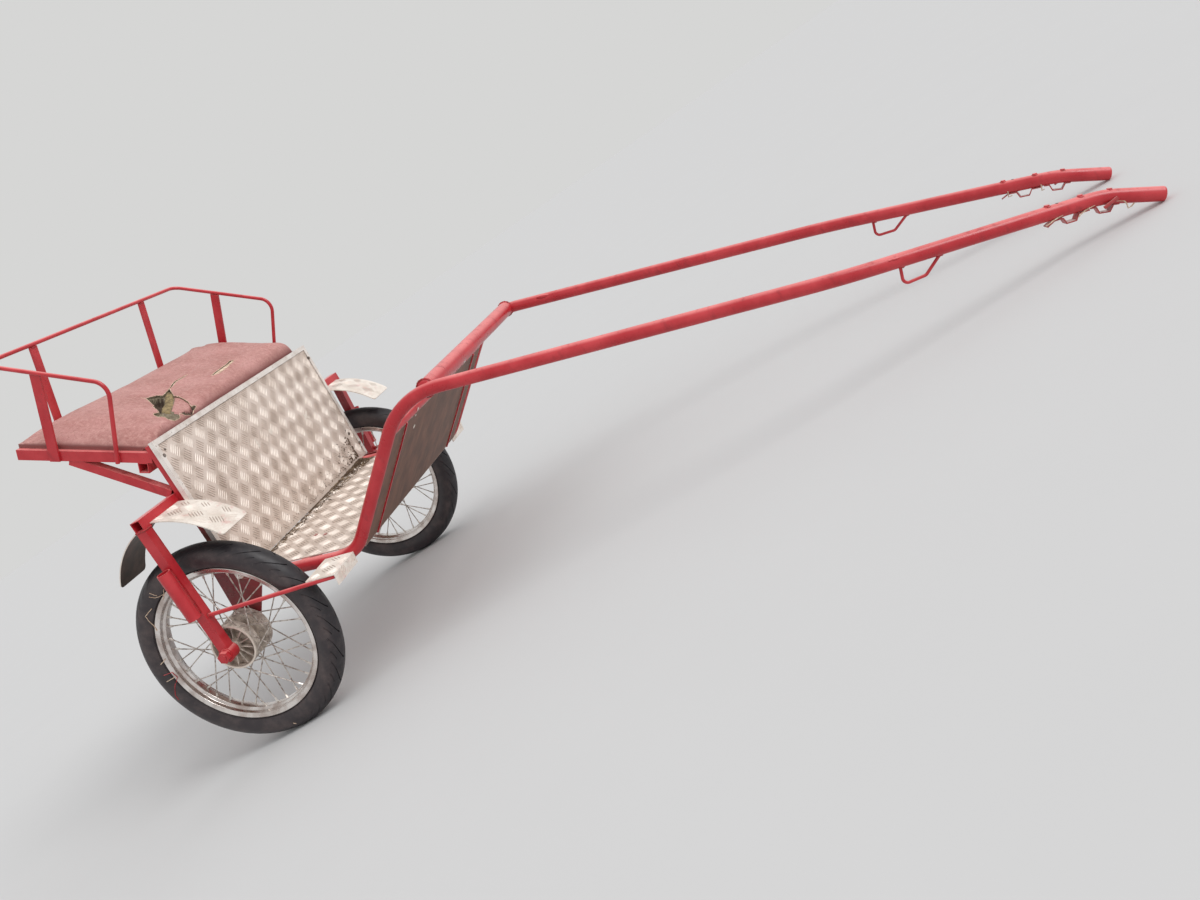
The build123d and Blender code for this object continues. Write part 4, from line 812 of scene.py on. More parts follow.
def tread_bar_mesh():
    """One raised bar, along X, tapering to its ends, with its foot sunk a little into the sheet."""
    bm = bmesh.new()
    foot = bmesh.ops.create_circle(bm, cap_ends=True, segments=8, radius=1.0)["verts"]
    bmesh.ops.scale(bm, vec=(TREAD_BAR_LENGTH / 2, TREAD_BAR_WIDTH / 2, 1.0), verts=foot)
    raised = bmesh.ops.extrude_face_region(bm, geom=list(bm.faces))["geom"]
    top = verts_of(raised)
    bmesh.ops.scale(bm, vec=TREAD_BAR_TOP, verts=top)
    bmesh.ops.translate(bm, vec=(0, 0, TREAD_BAR_HEIGHT + TREAD_BAR_SINK), verts=top)
    bmesh.ops.translate(bm, vec=(0, 0, -TREAD_BAR_SINK), verts=bm.verts)
    bmesh.ops.recalc_face_normals(bm, faces=bm.faces)
    return mesh_from(bm, "tread_bar")


TREAD_BAR = tread_bar_mesh()


def tread_bars(name, across_range, along_range, place, finishes, offset=(0.0, 0.0), carried=None):
    """Covers a sheet with bars, wherever carried(across, along) finds plate under them. One family
    leans each way. place turns (across, along, height) in mm into a parked point."""
    bm = bmesh.new()
    low_a, high_a = across_range
    low_b, high_b = along_range
    columns = int((high_a - low_a) / TREAD_PITCH_ACROSS) + 2
    rows = int((high_b - low_b) / TREAD_PITCH_ALONG) + 2
    count, faces = len(TREAD_BAR.vertices), len(TREAD_BAR.polygons)
    for turned in (0, 1):
        for column in range(-1, columns):
            for row in range(-1, rows):
                a = low_a + offset[0] + (column + turned / 2) * TREAD_PITCH_ACROSS
                b = low_b + offset[1] + (row + turned / 2) * TREAD_PITCH_ALONG
                lean = math.radians(-TREAD_LEAN if turned else TREAD_LEAN)
                for index in range(BARS_IN_GROUP):
                    aside = (index - (BARS_IN_GROUP - 1) / 2) * TREAD_BAR_SPACING
                    spot = (a - aside * math.sin(lean), b + aside * math.cos(lean))
                    if not (low_a < spot[0] < high_a and low_b < spot[1] < high_b):
                        continue
                    if carried and not carried(*spot):
                        continue
                    bm.from_mesh(TREAD_BAR)
                    bm.verts.ensure_lookup_table()
                    bm.faces.ensure_lookup_table()
                    move = Matrix.Translation((*spot, 0.0)) @ Matrix.Rotation(lean, 4, "Z")
                    bmesh.ops.transform(bm, matrix=move, verts=bm.verts[-count:])
                    # Each family takes its own finish; on the tread plates the first is the lit copy and the second
                    # the shaded one, as painted light and shade
                    for face in bm.faces[-faces:]:
                        face.material_index = turned
    for point, outward in (((low_a, 0, 0), (-1, 0, 0)), ((high_a, 0, 0), (1, 0, 0)),
                           ((0, low_b, 0), (0, -1, 0)), ((0, high_b, 0), (0, 1, 0))):
        cut = bmesh.ops.bisect_plane(bm, geom=bm.verts[:] + bm.edges[:] + bm.faces[:], plane_co=point,
                                     plane_no=outward, clear_outer=True)["geom_cut"]
        rims = [item for item in cut if isinstance(item, bmesh.types.BMEdge)]
        bmesh.ops.holes_fill(bm, edges=rims)
    for vert in bm.verts:
        vert.co = place(*vert.co)
    return make_piece(name, bm, finishes, "cart", 30.0)


def panel_place(across, up, height):
    spot = on_panel(up, -height)
    return side_point(spot, across)


tread_bars("panel_tread", (-PANEL_HALF_WIDTH + 2.0, PANEL_HALF_WIDTH - 2.0), (8.0, PANEL_LENGTH - 4.0),
           panel_place, (PAINTED_LIT_BARS, PAINTED_SHADED_BARS), offset=(-4.0, 30.0))

SHEET_CORNER_TURN = math.radians(DASH_SLOPE - FLOOR_SLOPE)
SHEET_BEND_RADIUS = FLOOR_BEND_RADIUS - SHEET_LIFT
SHEET_CORNER_LIFT = SHEET_LIFT * math.tan(SHEET_CORNER_TURN / 2)
SHEET_REAR_REACH = PANEL_FOOT[0] + PLATE
SHEET_RUN = (DASH_FOOT_REACH - SHEET_REAR_REACH) / math.cos(math.radians(FLOOR_SLOPE)) - SHEET_CORNER_LIFT
BEND_SETBACK = SHEET_BEND_RADIUS * math.tan(SHEET_CORNER_TURN / 2)
FLOOR_FLAT = SHEET_RUN - BEND_SETBACK
BEND_RUN = SHEET_BEND_RADIUS * SHEET_CORNER_TURN
DASH_FLAT = DASH_SHEET_LENGTH - BEND_SETBACK


def sheet_place(across, run, height):
    """A point on the floor and dash sheet, a distance forward from its rear edge."""
    lift = SHEET_LIFT + PLATE / 2 + height
    if run <= FLOOR_FLAT:
        start = off_floor(SHEET_REAR_REACH, lift)
        spot = along(start, FLOOR_SLOPE, run)
    else:
        bend_start = along(off_floor(SHEET_REAR_REACH, SHEET_LIFT), FLOOR_SLOPE, FLOOR_FLAT)
        centre = along(bend_start, FLOOR_SLOPE + 90.0, SHEET_BEND_RADIUS)
        inside = SHEET_BEND_RADIUS - PLATE / 2 - height
        turned = min(run - FLOOR_FLAT, BEND_RUN) / SHEET_BEND_RADIUS
        slope = FLOOR_SLOPE + math.degrees(turned)
        spot = along(centre, slope - 90.0, inside)
        spot = along(spot, slope, max(0.0, run - FLOOR_FLAT - BEND_RUN))
    return side_point(spot, across)


tread_bars("floor_tread", (-SHEET_HALF_WIDTH + 2.0, SHEET_HALF_WIDTH - 2.0),
           (4.0, FLOOR_FLAT + BEND_RUN + DASH_FLAT - 4.0), sheet_place, (PAINTED_LIT_BARS, PAINTED_SHADED_BARS),
           offset=(10.0, 20.0))


# Guards and steps are bent from the same plate, so their outer faces carry the same bars. Each row:
# piece, node, middle of its bend, first and last direction from there in degrees, and bare edge in mm.
BENT_PLATES = (
    ("guard_tread_", "wheel_guard_", (0.0, 0.0), 155.0, 70.0, 14.0),
    ("step_tread_", "step_", (297.0, 150.0), 150.0, 20.0, 12.0),
)
BENT_STEPS = 240
LOOK_FROM = 0.6
PLATE_PROBE = 9.0


def bent_plate(node, middle, first_turn, last_turn):
    """How a bent plate runs round a middle in the side view: a place function, its length, and a test
    of whether the plate is there at (across, run)."""
    tree = surface_tree(nodes[node].data)
    low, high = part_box(node)
    line = []
    for step in range(BENT_STEPS + 1):
        turn = math.radians(first_turn + (last_turn - first_turn) * step / BENT_STEPS)
        out = level_direction(math.cos(turn), 0.0, math.sin(turn))
        start = side_point(middle, 0.0) + out * LOOK_FROM
        start.y = (low[1] + high[1]) / 2
        hit, normal = tree.ray_cast(start, -out, LOOK_FROM + 0.1)[:2]
        if hit is not None:
            line.append((hit, normal))
    runs = [0.0]
    for (before, _), (after, _) in zip(line, line[1:]):
        runs.append(runs[-1] + (after - before).length / MM)

    def place(across, run, height):
        index = min(max(sum(1 for r in runs if r <= run) - 1, 0), len(line) - 2)
        share = (run - runs[index]) / max(runs[index + 1] - runs[index], 1e-6)
        point = line[index][0].lerp(line[index + 1][0], share)
        out = line[index][1].lerp(line[index + 1][1], share).normalized()
        point = point + out * (height * MM)
        return Vector((point.x, across * MM, point.z))

    def carried(across, run):
        top, foot = place(across, run, PLATE_PROBE), place(across, run, -PLATE_PROBE)
        return tree.ray_cast(top, (foot - top).normalized(), 0.012)[0] is not None

    return place, runs[-1], carried, (low[1] / MM, high[1] / MM)


for side_name, side in SIDES:
    for piece_name, node, middle, first_turn, last_turn, edge in BENT_PLATES:
        place, length, carried, (right, left) = bent_plate(node + side_name, middle, first_turn, last_turn)
        tread_bars(piece_name + side_name, (right + edge, left - edge), (edge, length - edge), place,
                   (PAINTED_LIT_BARS, PAINTED_SHADED_BARS), (6.0, 8.0), carried)

# Seat cushion: foam under a vinyl cover that has split and torn open near its right end. Places on it
# are mm behind the seat's front edge, mm across to the cart's left, and mm over the board.
CUSHION_CORNER = 25.0
CUSHION_STEPS_ACROSS = 130
CUSHION_STEPS_BACK = 64
CUSHION_LIFTS = (50.2, 47.4, 55.7)
SHOULDER_RIGHT = 187.5
SHOULDER_LEFT = 45.5
SHOULDER_FRONT = 41.5
SHOULDER_BACK = 210.4
SWELL_START = 0.95
SWELL_CAP = 4.5
SWELL_FRAMES = 20
CUSHION_VOXEL = 7.0

HOLE = [
    (201, -184), (181, -188), (167, -156), (144, -160), (150, -137), (160, -102), (163, -88), (132, -127),
    (104, -164), (89, -164), (45, -191), (25, -212), (23, -194), (18, -198), (14, -222), (9, -238),
    (15, -265), (25, -277), (15, -297), (18, -323), (29, -333), (49, -329), (62, -327), (81, -319),
    (85, -310), (76, -297), (117, -261), (114, -257), (178, -193),
]
CAVITY = [(180, -190), (164, -160), (142, -164), (119, -194), (101, -228), (77, -288), (102, -262), (140, -229)]
STRIP = [(146, -145), (160, -102), (132, -127), (101, -172), (71, -234), (44, -293), (69, -294), (90, -265),
         (103, -221)]
FLAP = [(132, -127), (61, -124), (26, -192), (25, -212), (19, -232), (28, -247), (25, -277), (51, -274),
        (96, -178)]
HOOK = [(26, -275), (28, -247), (19, -232), (25, -212), (23, -194), (18, -198), (14, -222), (9, -238),
        (15, -265)]
CRUMB = [(66, -321), (66, -300), (41, -296), (25, -277), (14, -295), (18, -323), (29, -333)]
SPLIT = [(162, -95), (170, -66), (177, -32), (176, 7), (173, 43), (169, 7), (170, -32), (163, -66)]
GAPE = [(93, 40), (99, 106), (102, 162), (108, 196), (94, 199), (84, 127), (80, 71), (88, 43)]
GAPE_LIP = [(91, 46), (94, 106), (97, 160), (100, 192), (94, 198), (84, 127), (80, 71), (87, 44)]
SPLIT_LIP = [(160, -95), (165, -66), (172.5, -32), (171.5, 7), (172, 43), (169, 7), (170, -32), (163, -66)]
FOLD_FROM, FOLD_TO = (172.0, 43.0), (205.0, 150.0)


def seat_place(back, across, lift):
    spot = on_seat(back, BAR / 2 + BOARD_THICKNESS + lift)
    return side_point(spot, across)


SEAT_ORIGIN = seat_place(0.0, 0.0, 0.0)
SEAT_BACK_WAY = (seat_place(1000.0, 0.0, 0.0) - SEAT_ORIGIN)
SEAT_UP_WAY = (seat_place(0.0, 0.0, 1000.0) - SEAT_ORIGIN)


def shoulder(distance, reach):
    """The rise of a round shoulder: 0 at the edge, 1 where it levels out, reach mm further in."""
    left = 1.0 - min(max(distance, 0.0) / reach, 1.0)
    return math.sqrt(1.0 - left * left)


def cushion_lift(back, across):
    """Height of the cover over the board; the right end slopes in a long fall, the left end stands."""
    a = across / FRAME_HALF_WIDTH
    right, middle, left = CUSHION_LIFTS
    crown = right * a * (a - 1.0) / 2 + middle * (1.0 - a * a) + left * a * (a + 1.0) / 2
    return (crown * shoulder(FRAME_HALF_WIDTH + across, SHOULDER_RIGHT)
            * shoulder(FRAME_HALF_WIDTH - across, SHOULDER_LEFT)
            * shoulder(back, SHOULDER_FRONT) * shoulder(SEAT_DEPTH - back, SHOULDER_BACK))


def line_distance(back, across, start, end):
    run = (end[0] - start[0], end[1] - start[1])
    share = ((back - start[0]) * run[0] + (across - start[1]) * run[1]) / (run[0] ** 2 + run[1] ** 2)
    share = min(max(share, 0.0), 1.0)
    return math.hypot(back - start[0] - share * run[0], across - start[1] - share * run[1])


def edge_distance(back, across, spots):
    return min(line_distance(back, across, start, end) for start, end in around(spots))


def inside(back, across, spots):
    """Whether a place is inside an outline."""
    found = False
    for (ax, ay), (bx, by) in around(spots):
        if (ay > across) != (by > across) and back < ax + (across - ay) / (by - ay) * (bx - ax):
            found = not found
    return found


def solid_mesh(thing):
    """The mesh that a thing's modifiers make of it."""
    return bpy.data.meshes.new_from_object(thing.evaluated_get(bpy.context.evaluated_depsgraph_get()))


def swollen(mesh):
    """The start shape, remeshed and blown up by cloth pressure, with each point's move capped."""
    thing = bpy.data.objects.new("cushion_start", mesh)
    link(thing)
    remesh = thing.modifiers.new("even", "REMESH")
    remesh.mode = "VOXEL"
    remesh.voxel_size = CUSHION_VOXEL * MM
    thing.data = solid_mesh(thing)
    thing.modifiers.clear()
    started = [vert.co.copy() for vert in thing.data.vertices]
    held = thing.vertex_groups.new(name="held")
    low = [i for i, co in enumerate(started) if (co - SEAT_ORIGIN).dot(SEAT_UP_WAY) < 2.0 * MM]
    held.add(low, 1.0, "REPLACE")
    cloth = thing.modifiers.new("swell", "CLOTH")
    cloth.settings.use_pressure = True
    cloth.settings.uniform_pressure_force = 4.0
    cloth.settings.vertex_group_mass = "held"
    cloth.settings.effector_weights.gravity = 0.0
    for step in range(1, SWELL_FRAMES + 1):
        bpy.context.scene.frame_set(step)
    grown = solid_mesh(thing)
    thing.modifiers.clear()
    bpy.context.scene.frame_set(1)
    for vert, start in zip(grown.vertices, started):
        move = vert.co - start
        if move.length > SWELL_CAP * MM:
            vert.co = start + move * (SWELL_CAP * MM / move.length)
    thing.data = grown
    smooth = thing.modifiers.new("smooth", "SUBSURF")
    smooth.levels = smooth.render_levels = 1
    result = solid_mesh(thing)
    bpy.data.objects.remove(thing)
    return result


def cushion_start():
    """The closed form under the cover: crowned top, round corners, flat underside on the board."""
    bm = bmesh.new()
    bmesh.ops.create_grid(bm, x_segments=CUSHION_STEPS_ACROSS, y_segments=CUSHION_STEPS_BACK, size=1.0)
    half_back = SEAT_DEPTH / 2
    share = SWELL_START
    for vert in bm.verts:
        across = math.sin(vert.co.x * math.pi / 2) * FRAME_HALF_WIDTH
        middle = math.sin(vert.co.y * math.pi / 2) * half_back
        past = (abs(across) - FRAME_HALF_WIDTH + CUSHION_CORNER, abs(middle) - half_back + CUSHION_CORNER)
        lift = cushion_lift(half_back + middle, across)
        if min(past) > 0.0 and math.hypot(*past) > 0.0:
            shrink = max(past) / math.hypot(*past)
            across = math.copysign(abs(across) - past[0] * (1.0 - shrink), across)
            middle = math.copysign(abs(middle) - past[1] * (1.0 - shrink), middle)
        vert.co = seat_place(half_back + middle * 0.995 + 1.6, across * 1.004, lift * share)
    edges = [edge for edge in bm.edges if edge.is_boundary]
    walls = verts_of(bmesh.ops.extrude_edge_only(bm, edges=edges)["geom"])
    bmesh.ops.translate(bm, vec=SEAT_UP_WAY * 0.0002, verts=list({v for edge in edges for v in edge.verts}))
    bmesh.ops.holes_fill(bm, edges=[edge for edge in bm.edges if edge.is_boundary])
    for vert in walls:
        vert.co -= SEAT_UP_WAY * ((BOARD_THICKNESS - 0.8) * MM)
    bmesh.ops.recalc_face_normals(bm, faces=bm.faces)
    return mesh_from(bm, "cushion_start")


def settle(vert):
    """Moves a point of the cover for its creases, and for the sag where the foam under it has gone."""
    spot = vert.co - SEAT_ORIGIN
    back, across, lift = spot.dot(SEAT_BACK_WAY) / MM, spot.y / MM, spot.dot(SEAT_UP_WAY) / MM
    share = min(max(lift / 30.0, 0.0), 1.0)
    move = noise.noise(Vector((back / 90.0, across / 90.0, 0.0))) * 1.8
    move += noise.noise(Vector((back / 24.0, across / 34.0, 7.0))) * 0.7
    fold = line_distance(back, across, FOLD_FROM, FOLD_TO)
    move -= 2.2 * math.exp(-(fold / 6.0) ** 2)
    if back < 280.0 and -420.0 < across < 20.0:
        near = 0.0 if inside(back, across, HOLE) else edge_distance(back, across, HOLE)
        move -= 5.0 * math.exp(-(near / 34.0) ** 2)
    for spots in (SPLIT, GAPE):
        if abs(across - 60.0) < 200.0:
            near = edge_distance(back, across, spots)
            move += 1.6 * math.exp(-((near - 7.0) / 5.0) ** 2)
    vert.co += SEAT_UP_WAY * (move * share * MM)


def cushion_piece():
    mesh = swollen(cushion_start())
    for vert in mesh.vertices:
        settle(vert)
    tree = surface_tree(mesh)

    def on_cover(back, across, height):
        """A parked point over the cover itself; a negative height is under it."""
        above = seat_place(back, across, 110.0)
        hit = tree.ray_cast(above, -SEAT_UP_WAY)[0]
        return (hit or seat_place(back, across, 1.0)) + SEAT_UP_WAY * (height * MM)

    cover = bpy.data.objects.new("seat_cover", mesh)
    mesh.materials.clear()
    mesh.materials.append(VINYL)
    mesh.materials.append(OLD_FOAM)
    link(cover)
    bm = bmesh.new()
    flake(bm, HOLE, seat_place, 2.0, 95.0, 3, 1.6)
    flake(bm, SPLIT, on_cover, -8.0, 9.0, 4, 0.5)
    flake(bm, GAPE, on_cover, -8.0, 9.0, 5, 0.8)
    bmesh.ops.recalc_face_normals(bm, faces=bm.faces)
    for face in bm.faces:
        face.material_index = 1
    cutter = bpy.data.objects.new("tears", mesh_from(bm, "tears", (VINYL, OLD_FOAM)))
    link(cutter)
    tear = cover.modifiers.new("tear", "BOOLEAN")
    tear.operation = "DIFFERENCE"
    tear.solver = "MANIFOLD"
    tear.object = cutter
    cover.data = solid_mesh(cover)
    cover.modifiers.clear()
    bpy.data.objects.remove(cutter)
    cover.data.shade_smooth()
    cover.data.set_sharp_from_angle(angle=math.radians(48.0))
    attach(cover, "cart")
    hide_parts("seat_cushion")

    torn_foam_piece(on_cover)
    torn_edge_piece(on_cover)
    bm = bmesh.new()
    flake(bm, GAPE_LIP, on_cover, -7.5, -1.4, 6, 0.6)
    flake(bm, SPLIT_LIP, on_cover, -7.5, -0.4, 7, 0.4)
    make_piece("torn_lips", bm, BACKING, "cart", 60.0)


# What shows inside the tear, from the last to the first that holds: outline, depth, roughness, finish
# Finish 2, in the cavity and the hook, is the dark foam that stands for painted shade in the pits
TEAR_ZONES = ((HOLE, 10.0, 3.0, 0), (STRIP, 4.0, 2.4, 1), (FLAP, 5.0, 1.4, 3), (CAVITY, 34.0, 5.0, 2),
              (HOOK, 17.0, 4.0, 2), (CRUMB, 3.5, 4.0, 0))
TEAR_GRID = 2.5


def torn_foam_piece(on_cover):
    """The foam that shows through the tear: a block whose top is pitted, ridged and crumbled."""
    low_back, high_back = min(s[0] for s in HOLE) - 6.0, max(s[0] for s in HOLE) + 6.0
    low_across, high_across = min(s[1] for s in HOLE) - 6.0, max(s[1] for s in HOLE) + 6.0
    bm = bmesh.new()
    bmesh.ops.create_grid(bm, x_segments=int((high_back - low_back) / TEAR_GRID),
                          y_segments=int((high_across - low_across) / TEAR_GRID), size=0.5)
    for vert in bm.verts:
        vert.co.x = low_back + (vert.co.x + 0.5) * (high_back - low_back)
        vert.co.y = low_across + (vert.co.y + 0.5) * (high_across - low_across)
    outside = []
    for face in bm.faces:
        centre = face.calc_center_median()
        if not inside(centre.x, centre.y, HOLE) and edge_distance(centre.x, centre.y, HOLE) > 3.0:
            outside.append(face)
    bmesh.ops.delete(bm, geom=outside, context="FACES")
    for face in bm.faces:
        centre = face.calc_center_median()
        for spots, depth, rough, finish in TEAR_ZONES:
            if inside(centre.x, centre.y, spots):
                face.material_index = finish
    for vert in bm.verts:
        depth, rough = 7.0, 1.0
        for spots, zone_depth, zone_rough, finish in TEAR_ZONES:
            if inside(vert.co.x, vert.co.y, spots):
                edge = min(edge_distance(vert.co.x, vert.co.y, spots) / 5.0, 1.0)
                depth, rough = depth + (zone_depth - depth) * (0.45 + 0.55 * edge), zone_rough
        depth += noise.fractal(Vector((vert.co.x / 9.0, vert.co.y / 9.0, 2.0)), 0.8, 2.2, 4) * rough
        vert.co.z = -max(depth, 2.0)
    base = bmesh.ops.extrude_face_region(bm, geom=bm.faces[:])["geom"]
    tops = set(verts_of(base))
    for vert in bm.verts:
        if vert in tops:
            vert.co = on_cover(*vert.co)
        else:
            vert.co = seat_place(vert.co.x, vert.co.y, 0.6)
    make_piece("torn_foam", bm, (OLD_FOAM, YELLOW_FOAM, PIT_SHADE_FOAM, VINYL), "cart", 75.0)


def torn_edge_piece(on_cover):
    """The pale woven backing of the cover, which shows along every torn edge."""
    chance = random.Random(21)
    bm = bmesh.new()
    for spots, radius in ((HOLE, 1.0), (SPLIT, 0.9), (GAPE, 1.2)):
        line = stepped_outline(spots)
        path = [on_cover(back + chance.uniform(-0.8, 0.8), across + chance.uniform(-0.8, 0.8),
                         chance.uniform(-1.0, 0.4)) for back, across in line + line[:1]]
        sizes = [chance.uniform(0.55, 1.35) for _ in path]
        rod_along(bm, path, radius, 6, lambda index: sizes[index])
    # The flap's folded edge, from the tear's upper side to its lower one
    fold = [on_cover(132.0 - 37.0 * i / 12, -127.0, -3.5) for i in range(13)]
    fold += [on_cover(95.0 - 34.0 * i / 10, -127.0 + 3.0 * i / 10, -3.5) for i in range(1, 11)]
    rod_along(bm, fold, 1.3, 6, lambda index: 1.0 + 0.3 * math.sin(index * 1.9))
    make_piece("torn_backing", bm, BACKING, "cart", 60.0)


cushion_piece()


# Welds, fastenings and what years outdoors have left on the cart
ACROSS = Vector((0.0, 1.0, 0.0))
AHEAD = level_direction(1.0, 0.0, 0.0)
CROSS_TUBE_MIDDLE = (597.0, 687.0)
SOCKET_UP_LEG = 138.0
SOCKET_LENGTH = 150.0
STAY_UP_LEG = 122.0
LOOP_FEET = (1789.0, 1880.0)
TIP_BOLTS = (2139.0, 2218.0, 2285.0)
TIP_RISE = 1056.0
GUSSET_UP_PANEL = 30.0
RAIL_POSTS = 280.0
RAIL_REAR_RISE = 262.0
RAIL_REAR_LEAN = 37.0
RAIL_FOOT_BACK = 100.0
SHAFT_UP = level_direction(-math.sin(math.radians(SHAFT_SLOPE)), 0.0, math.cos(math.radians(SHAFT_SLOPE)))


def weld_beads():
    bm = bmesh.new()
    for side in (-1, 1):
        ends = side_point(CROSS_TUBE_MIDDLE, side * (BODY_HALF_WIDTH - TUBE_RADIUS + 3.0))
        weld_bead(bm, ring_path(ends, ACROSS, AHEAD, CROSS_TUBE_RADIUS + 0.4), 3.0)
        post = [side * (FRAME_HALF_WIDTH + off) for off in (-BAR / 2, BAR / 2)]
        for up in (-BAR / 2 - 0.4, BAR / 2 + 0.4):
            weld_bead(bm, [side_point(on_panel(CROSSBAR_UP_PANEL + up, POST_BACK), y) for y in post])
        weld_bead(bm, [side_point(on_panel(1.0, back), post[1] + side * 0.3) for back in (PLATE, POST_BACK)], 3.0)
        weld_bead(bm, [side_point(on_panel(1.0, POST_BACK), y) for y in post], 3.0)
        corners = ((15.0, 15.0), (15.0, -15.0), (-15.0, -15.0), (-15.0, 15.0), (15.0, 15.0))
        weld_bead(bm, [parked(*on_leg(LEG_RUN - 0.6, out, ahead, side)) for out, ahead in corners], 2.8)
        for ahead in (-9.0, 9.0):
            weld_bead(bm, [parked(*on_leg(up, 15.6, ahead, side))
                           for up in (SOCKET_UP_LEG + 6.0, SOCKET_UP_LEG + SOCKET_LENGTH - 6.0)], 3.4)
        stay = parked(*on_leg(STAY_UP_LEG, 0.0, 15.2, side))
        weld_bead(bm, ring_path(stay, parked(336.0, side * 598.0, 222.0) - stay, ACROSS, 6.6), 2.4)
        for reach in LOOP_FEET:
            spot = on_shaft(reach, side)
            foot = parked(*spot) - SHAFT_UP * (TUBE_RADIUS - 0.6) * MM
            weld_bead(bm, ring_path(foot, SHAFT_UP, ACROSS, 4.6), 2.4)
        plate_top = on_panel(GUSSET_UP_PANEL, PLATE)
        weld_bead(bm, [parked(x, side * 487.6, plate_top[1] + 0.8) for x in (plate_top[0], plate_top[0] - 34.0)])
        for back in (RAIL_FOOT_BACK - 5.0, RAIL_FOOT_BACK + 5.0):
            weld_bead(bm, [side_point(on_seat(back, up), side * 488.0) for up in (-13.0, 13.0)], 2.4)
        head = on_seat(SEAT_DEPTH + RAIL_REAR_LEAN, RAIL_REAR_RISE - 6.5)
        for turn in (-5.0, 5.0):
            spot = along(head, -SEAT_RAKE, turn)
            weld_bead(bm, [side_point(spot, side * RAIL_POSTS + off) for off in (-11.0, 11.0)], 2.0)
    make_piece("weld_beads", bm, WELD, "cart", 80.0)

    # The long lap seam of the near shaft, and the lump of weld where the far one was once mended
    bm = bmesh.new()
    seam = [parked(*on_shaft(1760.0 + 28.0 * i / 8, -1)) for i in range(9)]
    out = (-ACROSS + SHAFT_UP * 0.6).normalized() * (TUBE_RADIUS - 0.5) * MM
    weld_bead(bm, [point + out + ACROSS * (0.5 * MM * math.sin(i)) for i, point in enumerate(seam)], 2.6)
    lump = [parked(*on_shaft(710.0 + 46.0 * i / 6, 1)) for i in range(7)]
    out = (-ACROSS + SHAFT_UP * 0.8).normalized() * (TUBE_RADIUS - 1.5) * MM
    rod_along(bm, [point + out for point in lump], 6.5, 10, lambda i: (0.3, 0.75, 1.0, 1.05, 0.95, 0.7, 0.3)[i])
    make_piece("mended_seams", bm, RED, "cart", 80.0)


def shaft_bolts():
    bm = bmesh.new()
    for side in (-1, 1):
        for reach in TIP_BOLTS:
            spot, lean = parked(*on_shaft(reach, side)), SHAFT_UP
            if reach > TIP_BEND_REACH:
                spot = parked(reach, side * TIP_HALF_WIDTH, TIP_RISE)
                lean = level_direction(-0.1, 0.0, 1.0).normalized()
            bolt_head(bm, spot + lean * (TUBE_RADIUS - 0.8) * MM, lean, 7.0, 3.6, 12)
    make_piece("shaft_bolts", bm, RED, "cart", 40.0)
    # A dark disc on each shaft stands in for the open bolt hole: painted shade
    bm = bmesh.new()
    for side in (-1, 1):
        spot = parked(*on_shaft(2163.0, side)) + SHAFT_UP * (TUBE_RADIUS - 0.4) * MM
        disc(bm, spot, SHAFT_UP, 4.2, 3.4, 1.6, 16)
    make_piece("open_bolt_holes", bm, DIRT_AND_HOLE_SHADE, "cart", 40.0)


# Ends of galvanised tie wire under the shaft tips: how far along, and how far below the shaft's middle
NEAR_WIRES = (
    ((2134, 25), (2141, 23), (2149, 18), (2158, 15), (2177, 9)),
    ((2212, 28), (2216, 23), (2226, 17), (2254, 9)),
    ((2290, 9), (2300, 9), (2315, 10), (2322, 18), (2326, 28), (2333, 23), (2338, 16)),
)
WIRE_OUT = 14.0
FAR_WIRES = (((2147, 10), (2150, 27), (2159, 24)), ((2229, 10), (2233, 28), (2239, 26)))


def tie_wires():
    bm = bmesh.new()
    for side, wires in ((-1, NEAR_WIRES), (1, FAR_WIRES)):
        for wire in wires:
            path = []
            for reach, drop in wire:
                spot = on_shaft(min(reach, TIP_BEND_REACH), side)
                path.append(parked(reach, spot[1] - WIRE_OUT, spot[2] - drop))
            rod_along(bm, path, 1.7, 8)
    make_piece("tie_wires", bm, BACKING, "cart", 60.0)


def panel_fittings():
    """Screws through the panel's corners, a rivet, dark discs as painted shade in the drilled holes, and paint
    scratches down to bare metal.
    """
    near = -PANEL_HALF_WIDTH

    def on_face(across, down, height=0.0):
        return panel_place(across, PANEL_LENGTH - down, height)

    outward = (on_face(0.0, 100.0, 1000.0) - on_face(0.0, 100.0, 0.0)).normalized()
    bm = bmesh.new()
    for across, down, size in ((10, 45, 4.4), (940, 348, 4.0), (10, 400, 4.2), (974, 45, 4.2), (974, 400, 4.2)):
        bolt_head(bm, on_face(near + across, down, 2.6), outward, size, 2.4, 12)
    bolt_head(bm, on_face(near + 30, 32, 0.0), outward, 3.0, 1.6, 12)
    make_piece("panel_screws", bm, STEEL, "cart", 40.0)
    # Dark discs stand in for two drilled holes: painted shade
    bm = bmesh.new()
    for across, down, size in ((970, 43, 4.0), (933, 333, 2.4)):
        disc(bm, on_face(near + across, down, 0.2), outward, size, size * 0.9, 1.2, 16)
    make_piece("panel_holes", bm, DIRT_AND_HOLE_SHADE, "cart", 40.0)
    bm = bmesh.new()
    marks = (
        ((414, 160), (420, 158), (424, 186), (418, 192)),
        ((512, 160), (530, 166), (526, 176), (514, 182), (506, 172)),
        ((738, 190), (752, 196), (770, 184), (774, 192), (758, 204), (772, 212), (760, 216), (748, 206),
         (734, 216), (732, 208), (742, 202)),
        ((888, 90), (896, 92), (894, 100), (886, 98)),
    )
    for seed, spots in enumerate(marks):
        flake(bm, [(near + across, down) for across, down in spots], on_face, 0.05, 1.25, seed, 1.0)
    make_piece("panel_scratches", bm, PALE_FLAKE, "cart", 30.0)


HEAP_STEPS = 150
CRUMBS = 1100
STRAW_RADIUS = 0.9
MUD_SEED = 31


